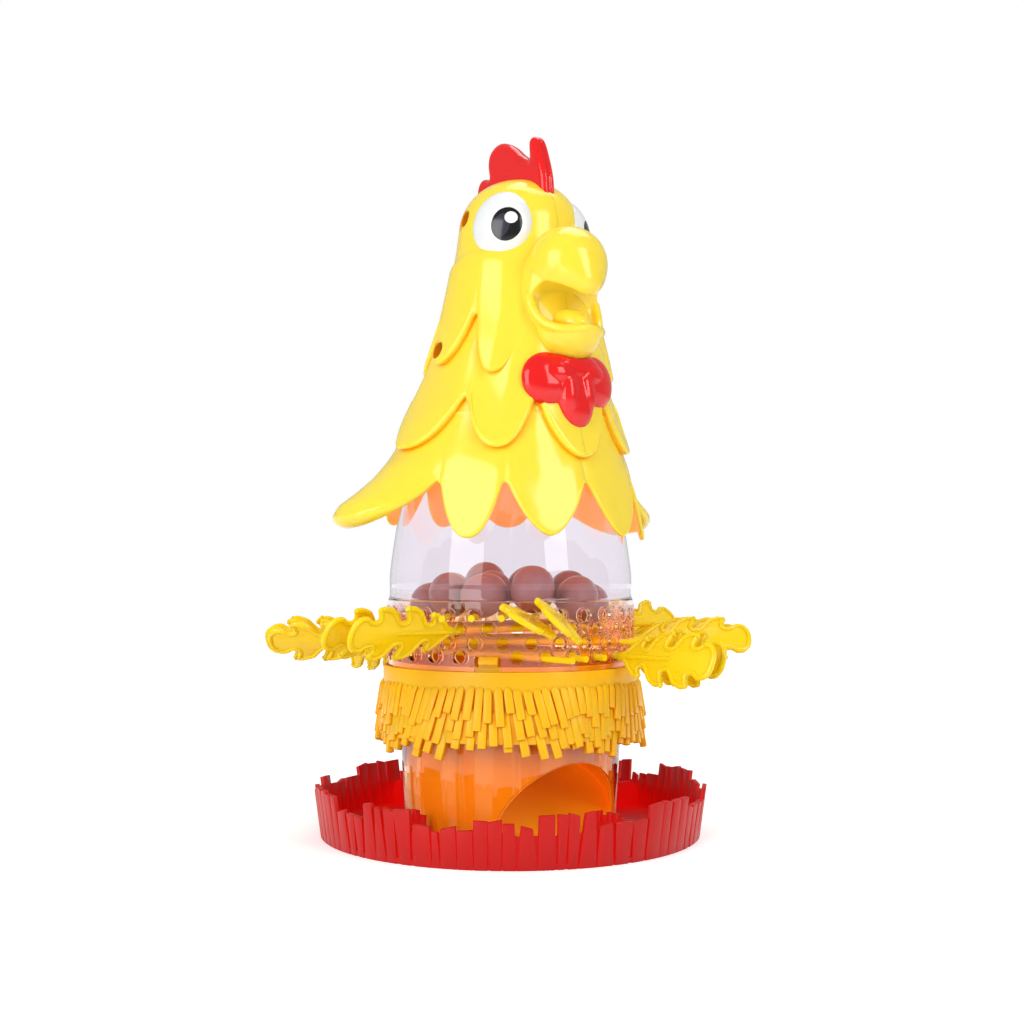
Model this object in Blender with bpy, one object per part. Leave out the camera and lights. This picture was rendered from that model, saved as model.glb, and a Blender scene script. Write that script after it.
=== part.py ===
"""Egg-laying chicken game: a tray, a turning base with a clear drum of eggs, feathers and a lift-off head.

Metres, +Z up. The origin is the centre of the tray's underside, and the chicken faces -Y.
An azimuth is in degrees: 0 is the chicken's front, and it grows towards +X.
"""

import math

import bmesh
import bpy
from mathutils import Euler, Matrix, Vector
from mathutils.bvhtree import BVHTree

MM = 0.001

# Gap between two pieces that touch on the real toy, and the angle from which an edge is shaded sharp
SEAT_GAP = 0.3 * MM
SHARP_ANGLE = 35.0

# Tray and its fence of planks
TRAY_RADIUS = 92.0 * MM
TRAY_LEAN = 3.0 * MM
TRAY_FLOOR = 2.2 * MM
FENCE_WALL = 2.2 * MM
FENCE_PLANKS = 42
FENCE_HEIGHT = 22.5 * MM
FENCE_UNEVENNESS = 4.0 * MM
FENCE_GROOVE = 0.7 * MM
PLANK_UNEVENNESS = 0.2
SEAM_SHARE = 0.07
DIVIDERS = 4
DIVIDER_AZIMUTH = 8.0
DIVIDER_HEIGHT = 15.5 * MM
DIVIDER_WALL = 2.6 * MM
DIVIDER_CORNER = 6.0 * MM
DIVIDER_CORNER_STEPS = 3
DIVIDER_CLEARANCE = 3.0 * MM
DIVIDER_TEETH = 4

# Hub post that the upper part snaps onto
POST_RADIUS = 8.0 * MM
POST_LIP = 0.9 * MM
POST_LIP_HEIGHT = 2.0 * MM
POST_TOP = 14.0 * MM
POST_SIDES = 14
SOCKET_WALL = 2.4 * MM
SOCKET_HEADROOM = 1.5 * MM

# Clear base cone and the orange chute inside it
BASE_RADIUS = 51.0 * MM
BASE_TOP_RADIUS = 54.8 * MM
BASE_TOP = 62.0 * MM
BASE_WALL = 1.5 * MM
CHUTE_WALL = 1.8 * MM
RAMP_REAR = 44.0 * MM
RAMP_FRONT = 5.0 * MM
RAMP_THICKNESS = 2.0 * MM
ARCH_HALF_WIDTH = 35.0 * MM
ARCH_TOP = 39.0 * MM
ARCH_STEPS = 12

# Nest collar of moulded straw
COLLAR_THROAT = 50.0 * MM
COLLAR_SHELF = 2.0 * MM
COLLAR_WALL = 1.9 * MM
COLLAR_SPIGOT = 8.0 * MM
COLLAR_TOP = 82.0 * MM
COLLAR_INNER_TOP = 84.0 * MM
GROOVE_FLOOR = 76.0 * MM
STRAWS = 36
STRAW_RELIEF = 0.8 * MM
STRAW_BULGE = 4.0 * MM
STRAW_STEP = 1.8 * MM
STRAW_THICKNESS = 3.4 * MM
STRAW_CLEARANCE = 3.0 * MM
UPPER_STRAW_END = 63.0 * MM
LOWER_STRAW_END = 45.0 * MM
STRAW_UNEVENNESS = 3.2 * MM
STRAW_FAN = 7.0
LATCHES = 4
LATCH_AZIMUTH = 45.0
TONGUE_WIDTH = 9.0 * MM
TONGUE_NOSE = 1.8 * MM
TONGUE_NOSE_HEIGHT = 3.4 * MM

# Clear drum and its rows of holes
DRUM_RADIUS = 59.8 * MM
DRUM_WALL = 2.0 * MM
DRUM_SHOULDER = 115.0 * MM
DRUM_BEND_RADIUS = 59.0 * MM
DRUM_BEND = 127.0 * MM
DRUM_WAIST_RADIUS = 56.2 * MM
DRUM_WAIST = 145.0 * MM
DRUM_TOP_RADIUS = 46.8 * MM
DRUM_TOP = 198.0 * MM
HOLES_A_ROW = 28
HOLE_RADIUS = 3.3 * MM
HOLE_SIDES = 6
WINDOW_WIDTH = 12.0 * MM
WINDOW_BOTTOM = 79.5 * MM
WINDOW_TOP = 89.0 * MM

# Rows of holes: height, and half a pitch of offset or none
HOLE_ROWS = {
    "A": (107.0 * MM, 0.0),
    "B": (101.0 * MM, 0.5),
    "C": (94.5 * MM, 0.0),
    "D": (88.5 * MM, 0.5),
}

# Feathers: a round stick that ends in a lobed leaf
STICK_RADIUS = 1.5 * MM
STICK_SIDES = 6
STICK_LENGTH = 126.0 * MM
STICK_IN_LEAF = 1.2 * MM
STICK_CLEARANCE = 0.6 * MM
LEAF_LENGTH = 59.0 * MM
LEAF_WIDTH = 27.0 * MM
LEAF_THICKNESS = 2.8 * MM
LEAF_RIM = 1.3 * MM
LEAF_DISH = 0.6 * MM
LEAF_STANDOFF = 1.2 * MM

# Right side of the leaf from root to tip, as shares of its length and half its width
LEAF_OUTLINE = (
    (0.00, 0.13),
    (0.20, 0.20),
    (0.35, 0.74),
    (0.43, 0.42),
    (0.52, 1.00),
    (0.66, 0.96),
    (0.69, 0.48),
    (0.82, 0.90),
    (1.00, 0.30),
)

# Groups of five parallel sticks: row, direction in hole pitches, side with three leaves, roll, roll step
FEATHER_GROUPS = (
    ("A", -3.0, "far", -16.0, -14.0),
    ("B", -6.5, "far", 52.0, 6.0),
    ("C", 4.0, "far", 58.0, -7.0),
    ("D", 0.5, "far", 64.0, 5.0),
)

# Eggs, in the order in which they are let down: azimuth, radius and heading of each
EGG_LENGTH = 23.5 * MM
EGG_WIDTH = 20.0 * MM
EGG_TAPER = 0.12
EGG_COLUMNS = 8
EGG_ROWS = 5
EGG_PLACES = (
    (-162, 38.0 * MM, 80),
    (-125, 38.5 * MM, 40),
    (-89, 38.0 * MM, 85),
    (-52, 39.0 * MM, 30),
    (-16, 39.5 * MM, -10),
    (20, 38.5 * MM, 35),
    (57, 39.0 * MM, 60),
    (93, 38.0 * MM, 100),
    (129, 38.5 * MM, 125),
    (164, 38.0 * MM, 95),
    (-70, 15.5 * MM, 20),
    (18, 15.0 * MM, 60),
    (108, 15.5 * MM, 10),
    (-160, 15.0 * MM, 100),
)

# Head: a hollow of three tiers of lobes, in two halves that meet at its middle
HEAD_WALL = 2.4 * MM
HEAD_COLUMNS = 48
DOME_RINGS = 4
DOME_RADIUS = 30.0 * MM
DOME_CENTRE = 287.0 * MM
DOME_HEIGHT = 28.5 * MM
DOME_SQUARENESS = 2.2
BROW = 282.0 * MM
LEAN = 8.3 * MM
LEAN_BOTTOM = 185.0 * MM
LEAN_TOP = 250.0 * MM
TIER_STEP = 1.3 * MM
PLAIN_FRONT = 26.0
STEPPED_SIDE = 40.0
LOBE_SQUARENESS = 2.2
WING_FLARE = 27.0 * MM
WING_ROOT = 205.0 * MM
WING_TIP = 148.0 * MM
WING_AZIMUTH = 97.5
WING_SPREAD = 34.0
WING_CURVE = 1.8
LEDGE_WIDTH = 6.0 * MM
LEDGE_THICKNESS = 2.0 * MM

# Half-widths of the head at heights below the brow
HEAD_PROFILE = (
    (120 * MM, 64.5 * MM),
    (145 * MM, 63.6 * MM),
    (160 * MM, 62.0 * MM),
    (176 * MM, 59.5 * MM),
    (195 * MM, 53.5 * MM),
    (215 * MM, 47.0 * MM),
    (242 * MM, 39.6 * MM),
    (262 * MM, 34.6 * MM),
    (282 * MM, 30.8 * MM),
    (292 * MM, 30.0 * MM),
)

# Lobes of each tier from front to back, mirrored: near and far azimuth, height of tip and of notches
CHEEK_LOBES = (
    (-30.0, 30.0, 236 * MM, 240 * MM),
    (30.0, 67.5, 218 * MM, 246 * MM),
    (67.5, 112.5, 224 * MM, 246 * MM),
    (112.5, 157.5, 222 * MM, 246 * MM),
    (157.5, 202.5, 222 * MM, 246 * MM),
)
SHOULDER_LOBES = (
    (-22.5, 22.5, 179 * MM, 205 * MM),
    (22.5, 60.0, 183 * MM, 205 * MM),
    (60.0, 120.0, 184 * MM, 207 * MM),
    (120.0, 165.0, 182 * MM, 205 * MM),
    (165.0, 195.0, 181 * MM, 203 * MM),
)
SKIRT_LOBES = (
    (0.0, 37.5, 143 * MM, 167 * MM),
    (37.5, 67.5, 142 * MM, 167 * MM),
    (67.5, 127.5, WING_TIP, 168 * MM),
    (127.5, 165.0, 150 * MM, 168 * MM),
    (165.0, 195.0, 150 * MM, 168 * MM),
)

# Screws that hold the halves of the head, driven from the chicken's right
SCREW_HEIGHTS = {"upper": 295.0 * MM, "lower": 231.0 * MM}
SCREW_FORWARD = 3.0 * MM
SCREW_HEAD_RADIUS = 2.9 * MM
SCREW_HEAD_THICKNESS = 2.2 * MM
SCREW_RADIUS = 1.5 * MM
SCREW_LENGTH = 14.0 * MM
SCREW_FLOOR = 3.0 * MM
RECESS_RADIUS = 4.0 * MM
BOSS_WALL = 1.6 * MM

# Beak: centre and half-sizes of the ovals that it is made of, along X, Y and Z
BEAK_ROOT = (0.0, -38.0 * MM, 254.5 * MM)
BEAK_ROOT_SIZE = (18.0 * MM, 15.0 * MM, 28.0 * MM)
BEAK_BULB = (0.0, -48.0 * MM, 267.5 * MM)
BEAK_BULB_SIZE = (17.6 * MM, 18.5 * MM, 16.0 * MM)
BEAK_TIP = (0.0, -56.0 * MM, 261.5 * MM)
BEAK_TIP_SIZE = (12.5 * MM, 11.5 * MM, 10.0 * MM)
JAW = (0.0, -45.0 * MM, 239.0 * MM)
JAW_SIZE = (15.5 * MM, 18.0 * MM, 17.0 * MM)
MOUTH = (0.0, -62.0 * MM, 255.0 * MM)
MOUTH_SIZE = (18.5 * MM, 14.0 * MM, 15.0 * MM)
TONGUE = (0.0, -50.0 * MM, 241.5 * MM)
TONGUE_SIZE = (6.5 * MM, 9.0 * MM, 3.5 * MM)
BEAK_COLUMNS = 14
BEAK_ROWS = 9
TONGUE_COLUMNS = 8
TONGUE_ROWS = 6

# Wattle: round side lobes, a long middle one, and the root that joins them under the jaw
WATTLE_DEPTH = 5.5 * MM
WATTLE_SIDE_APART = 15.5 * MM
WATTLE_SIDE_HEIGHT = 216.0 * MM
WATTLE_SIDE_RADIUS = 11.0 * MM
WATTLE_MIDDLE_HEIGHT = 207.0 * MM
WATTLE_MIDDLE_SIZE = (10.0 * MM, 15.0 * MM)
WATTLE_ROOT_HEIGHT = 220.0 * MM
WATTLE_ROOT_SIZE = (15.0 * MM, 9.0 * MM)
WATTLE_COLUMNS = 10
WATTLE_ROWS = 8

# Comb: forward distance and height round its outline, front base first
COMB_THICKNESS = 8.0 * MM
COMB_ROUNDING = 2.2 * MM
COMB_OUTLINE = (
    (34.0 * MM, 300.0 * MM),
    (31.0 * MM, 316.0 * MM),
    (24.0 * MM, 328.0 * MM),
    (17.5 * MM, 333.0 * MM),
    (14.0 * MM, 330.0 * MM),
    (14.5 * MM, 321.5 * MM),
    (6.0 * MM, 326.0 * MM),
    (-4.0 * MM, 337.0 * MM),
    (-11.0 * MM, 340.0 * MM),
    (-14.5 * MM, 334.0 * MM),
    (-11.5 * MM, 326.5 * MM),
    (-18.0 * MM, 328.0 * MM),
    (-24.0 * MM, 324.0 * MM),
    (-24.0 * MM, 314.0 * MM),
    (5.0 * MM, 300.0 * MM),
)

# Eyes
EYE_AZIMUTH = 54.0
EYE_HEIGHT = 288.5 * MM
EYE_HALF_WIDTH = 15.6 * MM
EYE_HALF_HEIGHT = 16.4 * MM
EYE_BULGE = 4.0 * MM
EYE_SINK = 6.0 * MM
EYE_TILT = 12.0
EYE_COLUMNS = 18
EYE_ROWS = 8

# Sizes that follow from those above
HALF_PITCH = 180.0 / HOLES_A_ROW
ROUND_SIDES = HOLES_A_ROW
ROUND_TURN = HALF_PITCH / 2
BASE_BOTTOM = TRAY_FLOOR + SEAT_GAP
SHELF_BOTTOM = BASE_TOP + SEAT_GAP
DRUM_BOTTOM = GROOVE_FLOOR + SEAT_GAP
DRUM_INNER_RADIUS = DRUM_RADIUS - DRUM_WALL
COLLAR_INNER_OUT = DRUM_INNER_RADIUS - SEAT_GAP
COLLAR_INNER_IN = COLLAR_INNER_OUT - COLLAR_WALL
TONGUE_OUT = DRUM_INNER_RADIUS * math.cos(math.radians(HALF_PITCH)) - 2.0 * SEAT_GAP
COLLAR_LIP_IN = DRUM_RADIUS + SEAT_GAP
COLLAR_LIP_OUT = COLLAR_LIP_IN + COLLAR_WALL
SPIGOT_IN = BASE_TOP_RADIUS + SEAT_GAP
SPIGOT_OUT = SPIGOT_IN + COLLAR_WALL
COLLAR_BODY_OUT = max(COLLAR_LIP_OUT, SPIGOT_OUT)
STRAW_BAND_OUT = COLLAR_LIP_OUT + SEAT_GAP
STRAW_WIDEST = max(STRAW_BAND_OUT + STRAW_BULGE, SPIGOT_OUT + STRAW_CLEARANCE + STRAW_THICKNESS)
POST_OUTSIDE = RECESS_RADIUS + BOSS_WALL
STICK_DROP = HOLE_RADIUS * math.cos(math.pi / HOLE_SIDES) - STICK_RADIUS - STICK_CLEARANCE


def radial(azimuth, radius, height):
    """The point at an azimuth, a radius and a height."""
    turn = math.radians(azimuth)
    return Vector((radius * math.sin(turn), -radius * math.cos(turn), height))


def uneven(index, spread):
    """An irregular value between -spread and spread that is the same on every run."""
    return spread * (0.6 * math.sin(2.4 * index + 0.7) + 0.4 * math.sin(5.3 * index))


def between(low, high, share):
    return low + (high - low) * share


def smooth_step(low, high, value):
    share = min(max((value - low) / (high - low), 0.0), 1.0)
    return share * share * (3.0 - 2.0 * share)


def clear_scene():
    for thing in list(bpy.data.objects):
        bpy.data.objects.remove(thing, do_unlink=True)


def new_collection(name):
    collection = bpy.data.collections.new(name)
    bpy.context.scene.collection.children.link(collection)
    return collection


def new_material(name, colour, roughness, alpha=1.0):
    material = bpy.data.materials.new(name)
    material.use_nodes = True
    shader = material.node_tree.nodes["Principled BSDF"]
    shader.inputs["Base Color"].default_value = (*colour, 1.0)
    shader.inputs["Roughness"].default_value = roughness
    shader.inputs["Metallic"].default_value = 0.0
    shader.inputs["Alpha"].default_value = alpha
    return material


def new_object(name, shape, collection, material=None):
    """An object in the collection from a bmesh, which is freed. Without a material it is a cutter."""
    mesh = bpy.data.meshes.new(name)
    shape.to_mesh(mesh)
    shape.free()
    thing = bpy.data.objects.new(name, mesh)
    collection.objects.link(thing)
    if material:
        mesh.materials.append(material)
        mesh.shade_smooth()
        mesh.set_sharp_from_angle(angle=math.radians(SHARP_ANGLE))
    else:
        thing.hide_render = True
        thing.display_type = "WIRE"
    return thing


def cutter(name, shape):
    bmesh.ops.recalc_face_normals(shape, faces=shape.faces)
    return new_object(name, shape, bpy.data.collections["Cutters"])


def solid(name, shape, material):
    bmesh.ops.recalc_face_normals(shape, faces=shape.faces)
    return new_object(name, shape, bpy.data.collections["Egg-laying chicken game"], material)


def add_boolean(target, tool, operation):
    """A Boolean step. The head's two skins lie too close for the exact solver, which leaves them open."""
    step = target.modifiers.new(f"{operation.title()} {tool.name}", "BOOLEAN")
    step.operation = operation
    step.solver = "MANIFOLD" if target.name in ("head_left", "head_right", "Head cavity") else "EXACT"
    step.object = tool


def cut(target, *tools):
    for tool in tools:
        add_boolean(target, tool, "DIFFERENCE")


def join(target, *tools):
    for tool in tools:
        add_boolean(target, tool, "UNION")


def turned(profile, sides):
    """A profile of radius and height turned about Z, with its flats placed so that each hole is in one."""
    turn = math.radians(HALF_PITCH + ROUND_TURN)
    shape = bmesh.new()
    points = [shape.verts.new((r * math.cos(turn), r * math.sin(turn), z)) for r, z in profile]
    edges = [shape.edges.new(pair) for pair in zip(points, points[1:])]
    if profile[0][0] > 0.0:
        edges.append(shape.edges.new((points[-1], points[0])))
    bmesh.ops.spin(
        shape,
        geom=points + edges,
        axis=(0.0, 0.0, 1.0),
        cent=(0.0, 0.0, 0.0),
        angle=2.0 * math.pi,
        steps=sides,
        use_merge=True,
    )
    bmesh.ops.remove_doubles(shape, verts=shape.verts, dist=1e-6)
    return shape


def lofted(sections, closed_section):
    """A shape through one section of points after another, and round to the first again.

    It is made of triangles, so that two lofts a gap apart have the same folds.
    """
    shape = bmesh.new()
    columns = [[shape.verts.new(point) for point in section] for section in sections]
    rows = len(columns[0])
    for index, column in enumerate(columns):
        after = columns[(index + 1) % len(columns)]
        for row in range(rows if closed_section else rows - 1):
            below = (row + 1) % rows
            shape.faces.new((column[row], column[below], after[below]))
            shape.faces.new((column[row], after[below], after[row]))
    bmesh.ops.remove_doubles(shape, verts=shape.verts, dist=1e-6)
    return shape


def rod(start, end, radius, sides, first_corner=0.5):
    """A capped cylinder from one point to another. Its first corner is turned by a share of a side."""
    spin = Matrix.Rotation(2.0 * math.pi * first_corner / sides, 4, "Z")
    shape = bmesh.new()
    along = end - start
    turn = along.to_track_quat("Z", "Y").to_matrix().to_4x4()
    bmesh.ops.create_cone(
        shape,
        cap_ends=True,
        segments=sides,
        radius1=radius,
        radius2=radius,
        depth=along.length,
        matrix=Matrix.Translation((start + end) / 2) @ turn @ spin,
    )
    return shape


def frustum(bottom, top, radius_at):
    """A capped cone about Z between two heights, with its flats where those of turned pieces are."""
    facet_turn = Matrix.Rotation(math.radians(HALF_PITCH + ROUND_TURN), 4, "Z")
    shape = bmesh.new()
    bmesh.ops.create_cone(
        shape,
        cap_ends=True,
        segments=ROUND_SIDES,
        radius1=radius_at(bottom),
        radius2=radius_at(top),
        depth=top - bottom,
        matrix=Matrix.Translation((0.0, 0.0, (top + bottom) / 2)) @ facet_turn,
    )
    return shape


def ellipsoid(centre, radii, columns, rows, turn=Matrix()):
    """An oval of so many columns and rows of faces."""
    shape = bmesh.new()
    place = Matrix.Translation(centre) @ turn @ Matrix.Diagonal((*radii, 1.0))
    bmesh.ops.create_uvsphere(shape, u_segments=columns, v_segments=rows, radius=1.0, matrix=place)
    for face in shape.faces:
        face.smooth = True
    return shape


def block(low, high):
    shape = bmesh.new()
    centre = (Vector(low) + Vector(high)) / 2
    size = Vector(high) - Vector(low)
    place = Matrix.Translation(centre) @ Matrix.Diagonal((*size, 1.0))
    bmesh.ops.create_cube(shape, size=1.0, matrix=place)
    return shape


def plate(outline, thickness, place=Matrix()):
    """A flat outline with its thickness centred on its plane, moved to a place."""
    shape = bmesh.new()
    face = shape.faces.new([shape.verts.new((x, y, -thickness / 2)) for x, y in outline])
    raised = bmesh.ops.extrude_face_region(shape, geom=[face])["geom"]
    top = [part for part in raised if isinstance(part, bmesh.types.BMVert)]
    bmesh.ops.translate(shape, verts=top, vec=(0.0, 0.0, thickness))
    bmesh.ops.transform(shape, matrix=place, verts=shape.verts)
    return shape


def on_edge(azimuth):
    """Stands a flat outline of radius and height on edge at an azimuth."""
    out = radial(azimuth, 1.0, 0.0)
    up = Vector((0.0, 0.0, 1.0))
    return Matrix((out, up, out.cross(up))).transposed().to_4x4()


def keep_below(shape, point, normal):
    """Slices a closed shape by a plane and keeps the side that the normal points away from."""
    everything = shape.verts[:] + shape.edges[:] + shape.faces[:]
    bmesh.ops.bisect_plane(shape, geom=everything, plane_co=point, plane_no=normal, clear_outer=True)
    bmesh.ops.holes_fill(shape, edges=[edge for edge in shape.edges if edge.is_boundary])


def fence_radius(height):
    """Outer radius of the leaning fence at a height."""
    return TRAY_RADIUS + TRAY_LEAN * height / FENCE_HEIGHT


def fence_points():
    """Azimuth, height and groove round the fence: two points a plank and one in the seam after it."""
    pitch = 360.0 / FENCE_PLANKS
    points = []
    for plank in range(FENCE_PLANKS):
        start = plank * pitch + uneven(plank, PLANK_UNEVENNESS * pitch)
        following = (plank + 1) % FENCE_PLANKS
        end = (plank + 1) * pitch + uneven(following, PLANK_UNEVENNESS * pitch)
        height = FENCE_HEIGHT + uneven(3 * plank + 1, FENCE_UNEVENNESS)
        after = FENCE_HEIGHT + uneven(3 * following + 1, FENCE_UNEVENNESS)
        slant = uneven(7 * plank + 2, 0.3 * FENCE_UNEVENNESS)
        notch = 0.55 * FENCE_UNEVENNESS + uneven(5 * plank, 0.5 * FENCE_UNEVENNESS)
        points.append((between(start, end, SEAM_SHARE), height + slant, 0.0))
        points.append((between(start, end, 1.0 - SEAM_SHARE), height - slant, 0.0))
        points.append((end, min(height, after) - notch, FENCE_GROOVE))
    return points


def divider_outline():
    """Radius and height round a divider: jagged near the cone, plain with a round corner outside."""
    inner = BASE_RADIUS + DIVIDER_CLEARANCE
    outer = TRAY_RADIUS - FENCE_WALL / 2
    root = TRAY_FLOOR / 2
    tooth_width = 0.5 * (outer - inner) / DIVIDER_TEETH
    outline = [(inner, root)]
    for tooth in range(DIVIDER_TEETH):
        start = inner + tooth * tooth_width
        end = start + 0.8 * tooth_width
        top = DIVIDER_HEIGHT + uneven(tooth, 0.08 * DIVIDER_HEIGHT)
        outline += [(start, top - 0.04 * DIVIDER_HEIGHT), (end, top), (end, 0.9 * DIVIDER_HEIGHT)]
    for step in range(DIVIDER_CORNER_STEPS + 1):
        turn = math.pi / 2 * step / DIVIDER_CORNER_STEPS
        across = DIVIDER_CORNER * (1.0 - math.sin(turn))
        drop = DIVIDER_CORNER * (1.0 - math.cos(turn))
        outline.append((outer - across, DIVIDER_HEIGHT - drop))
    outline.append((outer, root))
    return outline


def make_tray(material):
    """The floor and fence in one loft, joined to the hub post and the dividers."""
    sections = []
    for azimuth, height, groove in fence_points():
        sections.append(
            [
                Vector((0.0, 0.0, 0.0)),
                radial(azimuth, TRAY_RADIUS - groove, 0.0),
                radial(azimuth, fence_radius(height) - groove, height),
                radial(azimuth, fence_radius(height) - FENCE_WALL, height),
                radial(azimuth, fence_radius(TRAY_FLOOR) - FENCE_WALL, TRAY_FLOOR),
                Vector((0.0, 0.0, TRAY_FLOOR)),
            ]
        )
    tray = solid("tray", lofted(sections, closed_section=False), material)
    root = TRAY_FLOOR / 2
    lip_bottom = POST_TOP - POST_LIP_HEIGHT
    post = (
        (0.0, POST_TOP),
        (POST_RADIUS - POST_LIP, POST_TOP),
        (POST_RADIUS + POST_LIP, lip_bottom),
        (POST_RADIUS, lip_bottom),
        (POST_RADIUS, root),
        (0.0, root),
    )
    join(tray, cutter("Hub post", turned(post, POST_SIDES)))
    for number in range(DIVIDERS):
        azimuth = DIVIDER_AZIMUTH + 360.0 * number / DIVIDERS
        divider = plate(divider_outline(), DIVIDER_WALL, on_edge(azimuth))
        join(tray, cutter(f"Divider {number + 1}", divider))
    return tray


def base_radius(height):
    """Outer radius of the clear cone at a height."""
    return between(BASE_RADIUS, BASE_TOP_RADIUS, (height - BASE_BOTTOM) / (BASE_TOP - BASE_BOTTOM))


def cone_wall(outside, wall):
    """Profile of a cone's wall, outside it by a distance that is negative inwards."""
    return (
        (BASE_TOP_RADIUS + outside, BASE_TOP),
        (BASE_RADIUS + outside, BASE_BOTTOM),
        (BASE_RADIUS + outside - wall, BASE_BOTTOM),
        (BASE_TOP_RADIUS + outside - wall, BASE_TOP),
    )


def arch_cutter():
    """The arch that the eggs leave by, half an ellipse on a low sill, through the front wall only."""
    sill = RAMP_FRONT - RAMP_THICKNESS / 4
    rise = ARCH_TOP - sill
    outline = []
    for step in range(ARCH_STEPS + 1):
        turn = math.pi * step / ARCH_STEPS
        outline.append((ARCH_HALF_WIDTH * math.cos(turn), sill + rise * math.sin(turn)))
    depth = BASE_TOP_RADIUS
    out_of_wall = Matrix.Translation((0.0, -0.85 * depth, 0.0)) @ Matrix.Rotation(math.pi / 2, 4, "X")
    return cutter("Arch", plate(outline, depth, out_of_wall))


def make_base_shell(material, arch):
    base = solid("base_shell", turned(cone_wall(0.0, BASE_WALL), ROUND_SIDES), material)
    cut(base, arch)
    return base


def ramp_plane(lowered):
    """A point and the upward normal of the ramp's surface, lowered by a distance."""
    reach = BASE_RADIUS
    along = Vector((0.0, 2.0 * reach, RAMP_REAR - RAMP_FRONT))
    normal = Vector((1.0, 0.0, 0.0)).cross(along).normalized()
    return Vector((0.0, -reach, RAMP_FRONT)) - normal * lowered, normal


def make_egg_chute(material, arch):
    """The orange cup: its wall, the ramp inside it, and the socket under the ramp that holds the post."""
    gap = BASE_WALL + SEAT_GAP
    chute = solid("egg_chute", turned(cone_wall(-gap, CHUTE_WALL), ROUND_SIDES), material)
    cut(chute, arch)
    ramp = frustum(BASE_BOTTOM, BASE_TOP, lambda height: base_radius(height) - gap - CHUTE_WALL / 2)
    top_point, up = ramp_plane(0.0)
    bottom_point, _ = ramp_plane(RAMP_THICKNESS)
    keep_below(ramp, top_point, up)
    keep_below(ramp, bottom_point, -up)
    join(chute, cutter("Ramp", ramp))
    socket_radius = POST_RADIUS + SEAT_GAP + POST_LIP + SOCKET_WALL
    socket = rod(Vector((0.0, 0.0, BASE_BOTTOM)), Vector((0.0, 0.0, RAMP_REAR)), socket_radius, POST_SIDES)
    keep_below(socket, *ramp_plane(RAMP_THICKNESS / 2))
    join(chute, cutter("Post socket", socket))
    lip_bottom = POST_TOP - POST_LIP_HEIGHT - SEAT_GAP
    ceiling = POST_TOP + SOCKET_HEADROOM
    bore = (
        (0.0, ceiling),
        (POST_RADIUS + POST_LIP + SEAT_GAP, ceiling),
        (POST_RADIUS + POST_LIP + SEAT_GAP, lip_bottom),
        (POST_RADIUS + SEAT_GAP, lip_bottom),
        (POST_RADIUS + SEAT_GAP, 0.0),
        (0.0, 0.0),
    )
    cut(chute, cutter("Post bore", turned(bore, POST_SIDES)))
    return chute


def straw_section(azimuth, relief, upper_end, lower_end):
    """Closed outline of the straw skin at one azimuth. Lower points swing round, so the straws fan out."""
    top = GROOVE_FLOOR - SEAT_GAP
    shoulder = between(STRAW_BAND_OUT, STRAW_WIDEST, 0.85) + relief
    share = ((azimuth - LATCH_AZIMUTH) / 90.0) % 1.0
    fan = STRAW_FAN * math.sin(2.0 * math.pi * share)

    def point(radius, height):
        return radial(azimuth + fan * (top - height) / (top - LOWER_STRAW_END), radius, height)

    return [
        point(COLLAR_LIP_OUT - COLLAR_WALL / 2, top),
        point(between(STRAW_BAND_OUT, STRAW_WIDEST, 0.4) + relief, between(top, UPPER_STRAW_END, 0.4)),
        point(shoulder, upper_end),
        point(shoulder - STRAW_STEP, upper_end),
        point(STRAW_WIDEST - relief, between(UPPER_STRAW_END, LOWER_STRAW_END, 0.6)),
        point(STRAW_WIDEST - relief - 0.2 * STRAW_BULGE, lower_end),
        point(STRAW_WIDEST - STRAW_THICKNESS, lower_end),
        point(COLLAR_BODY_OUT - COLLAR_WALL, SHELF_BOTTOM + COLLAR_SHELF),
    ]


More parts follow.
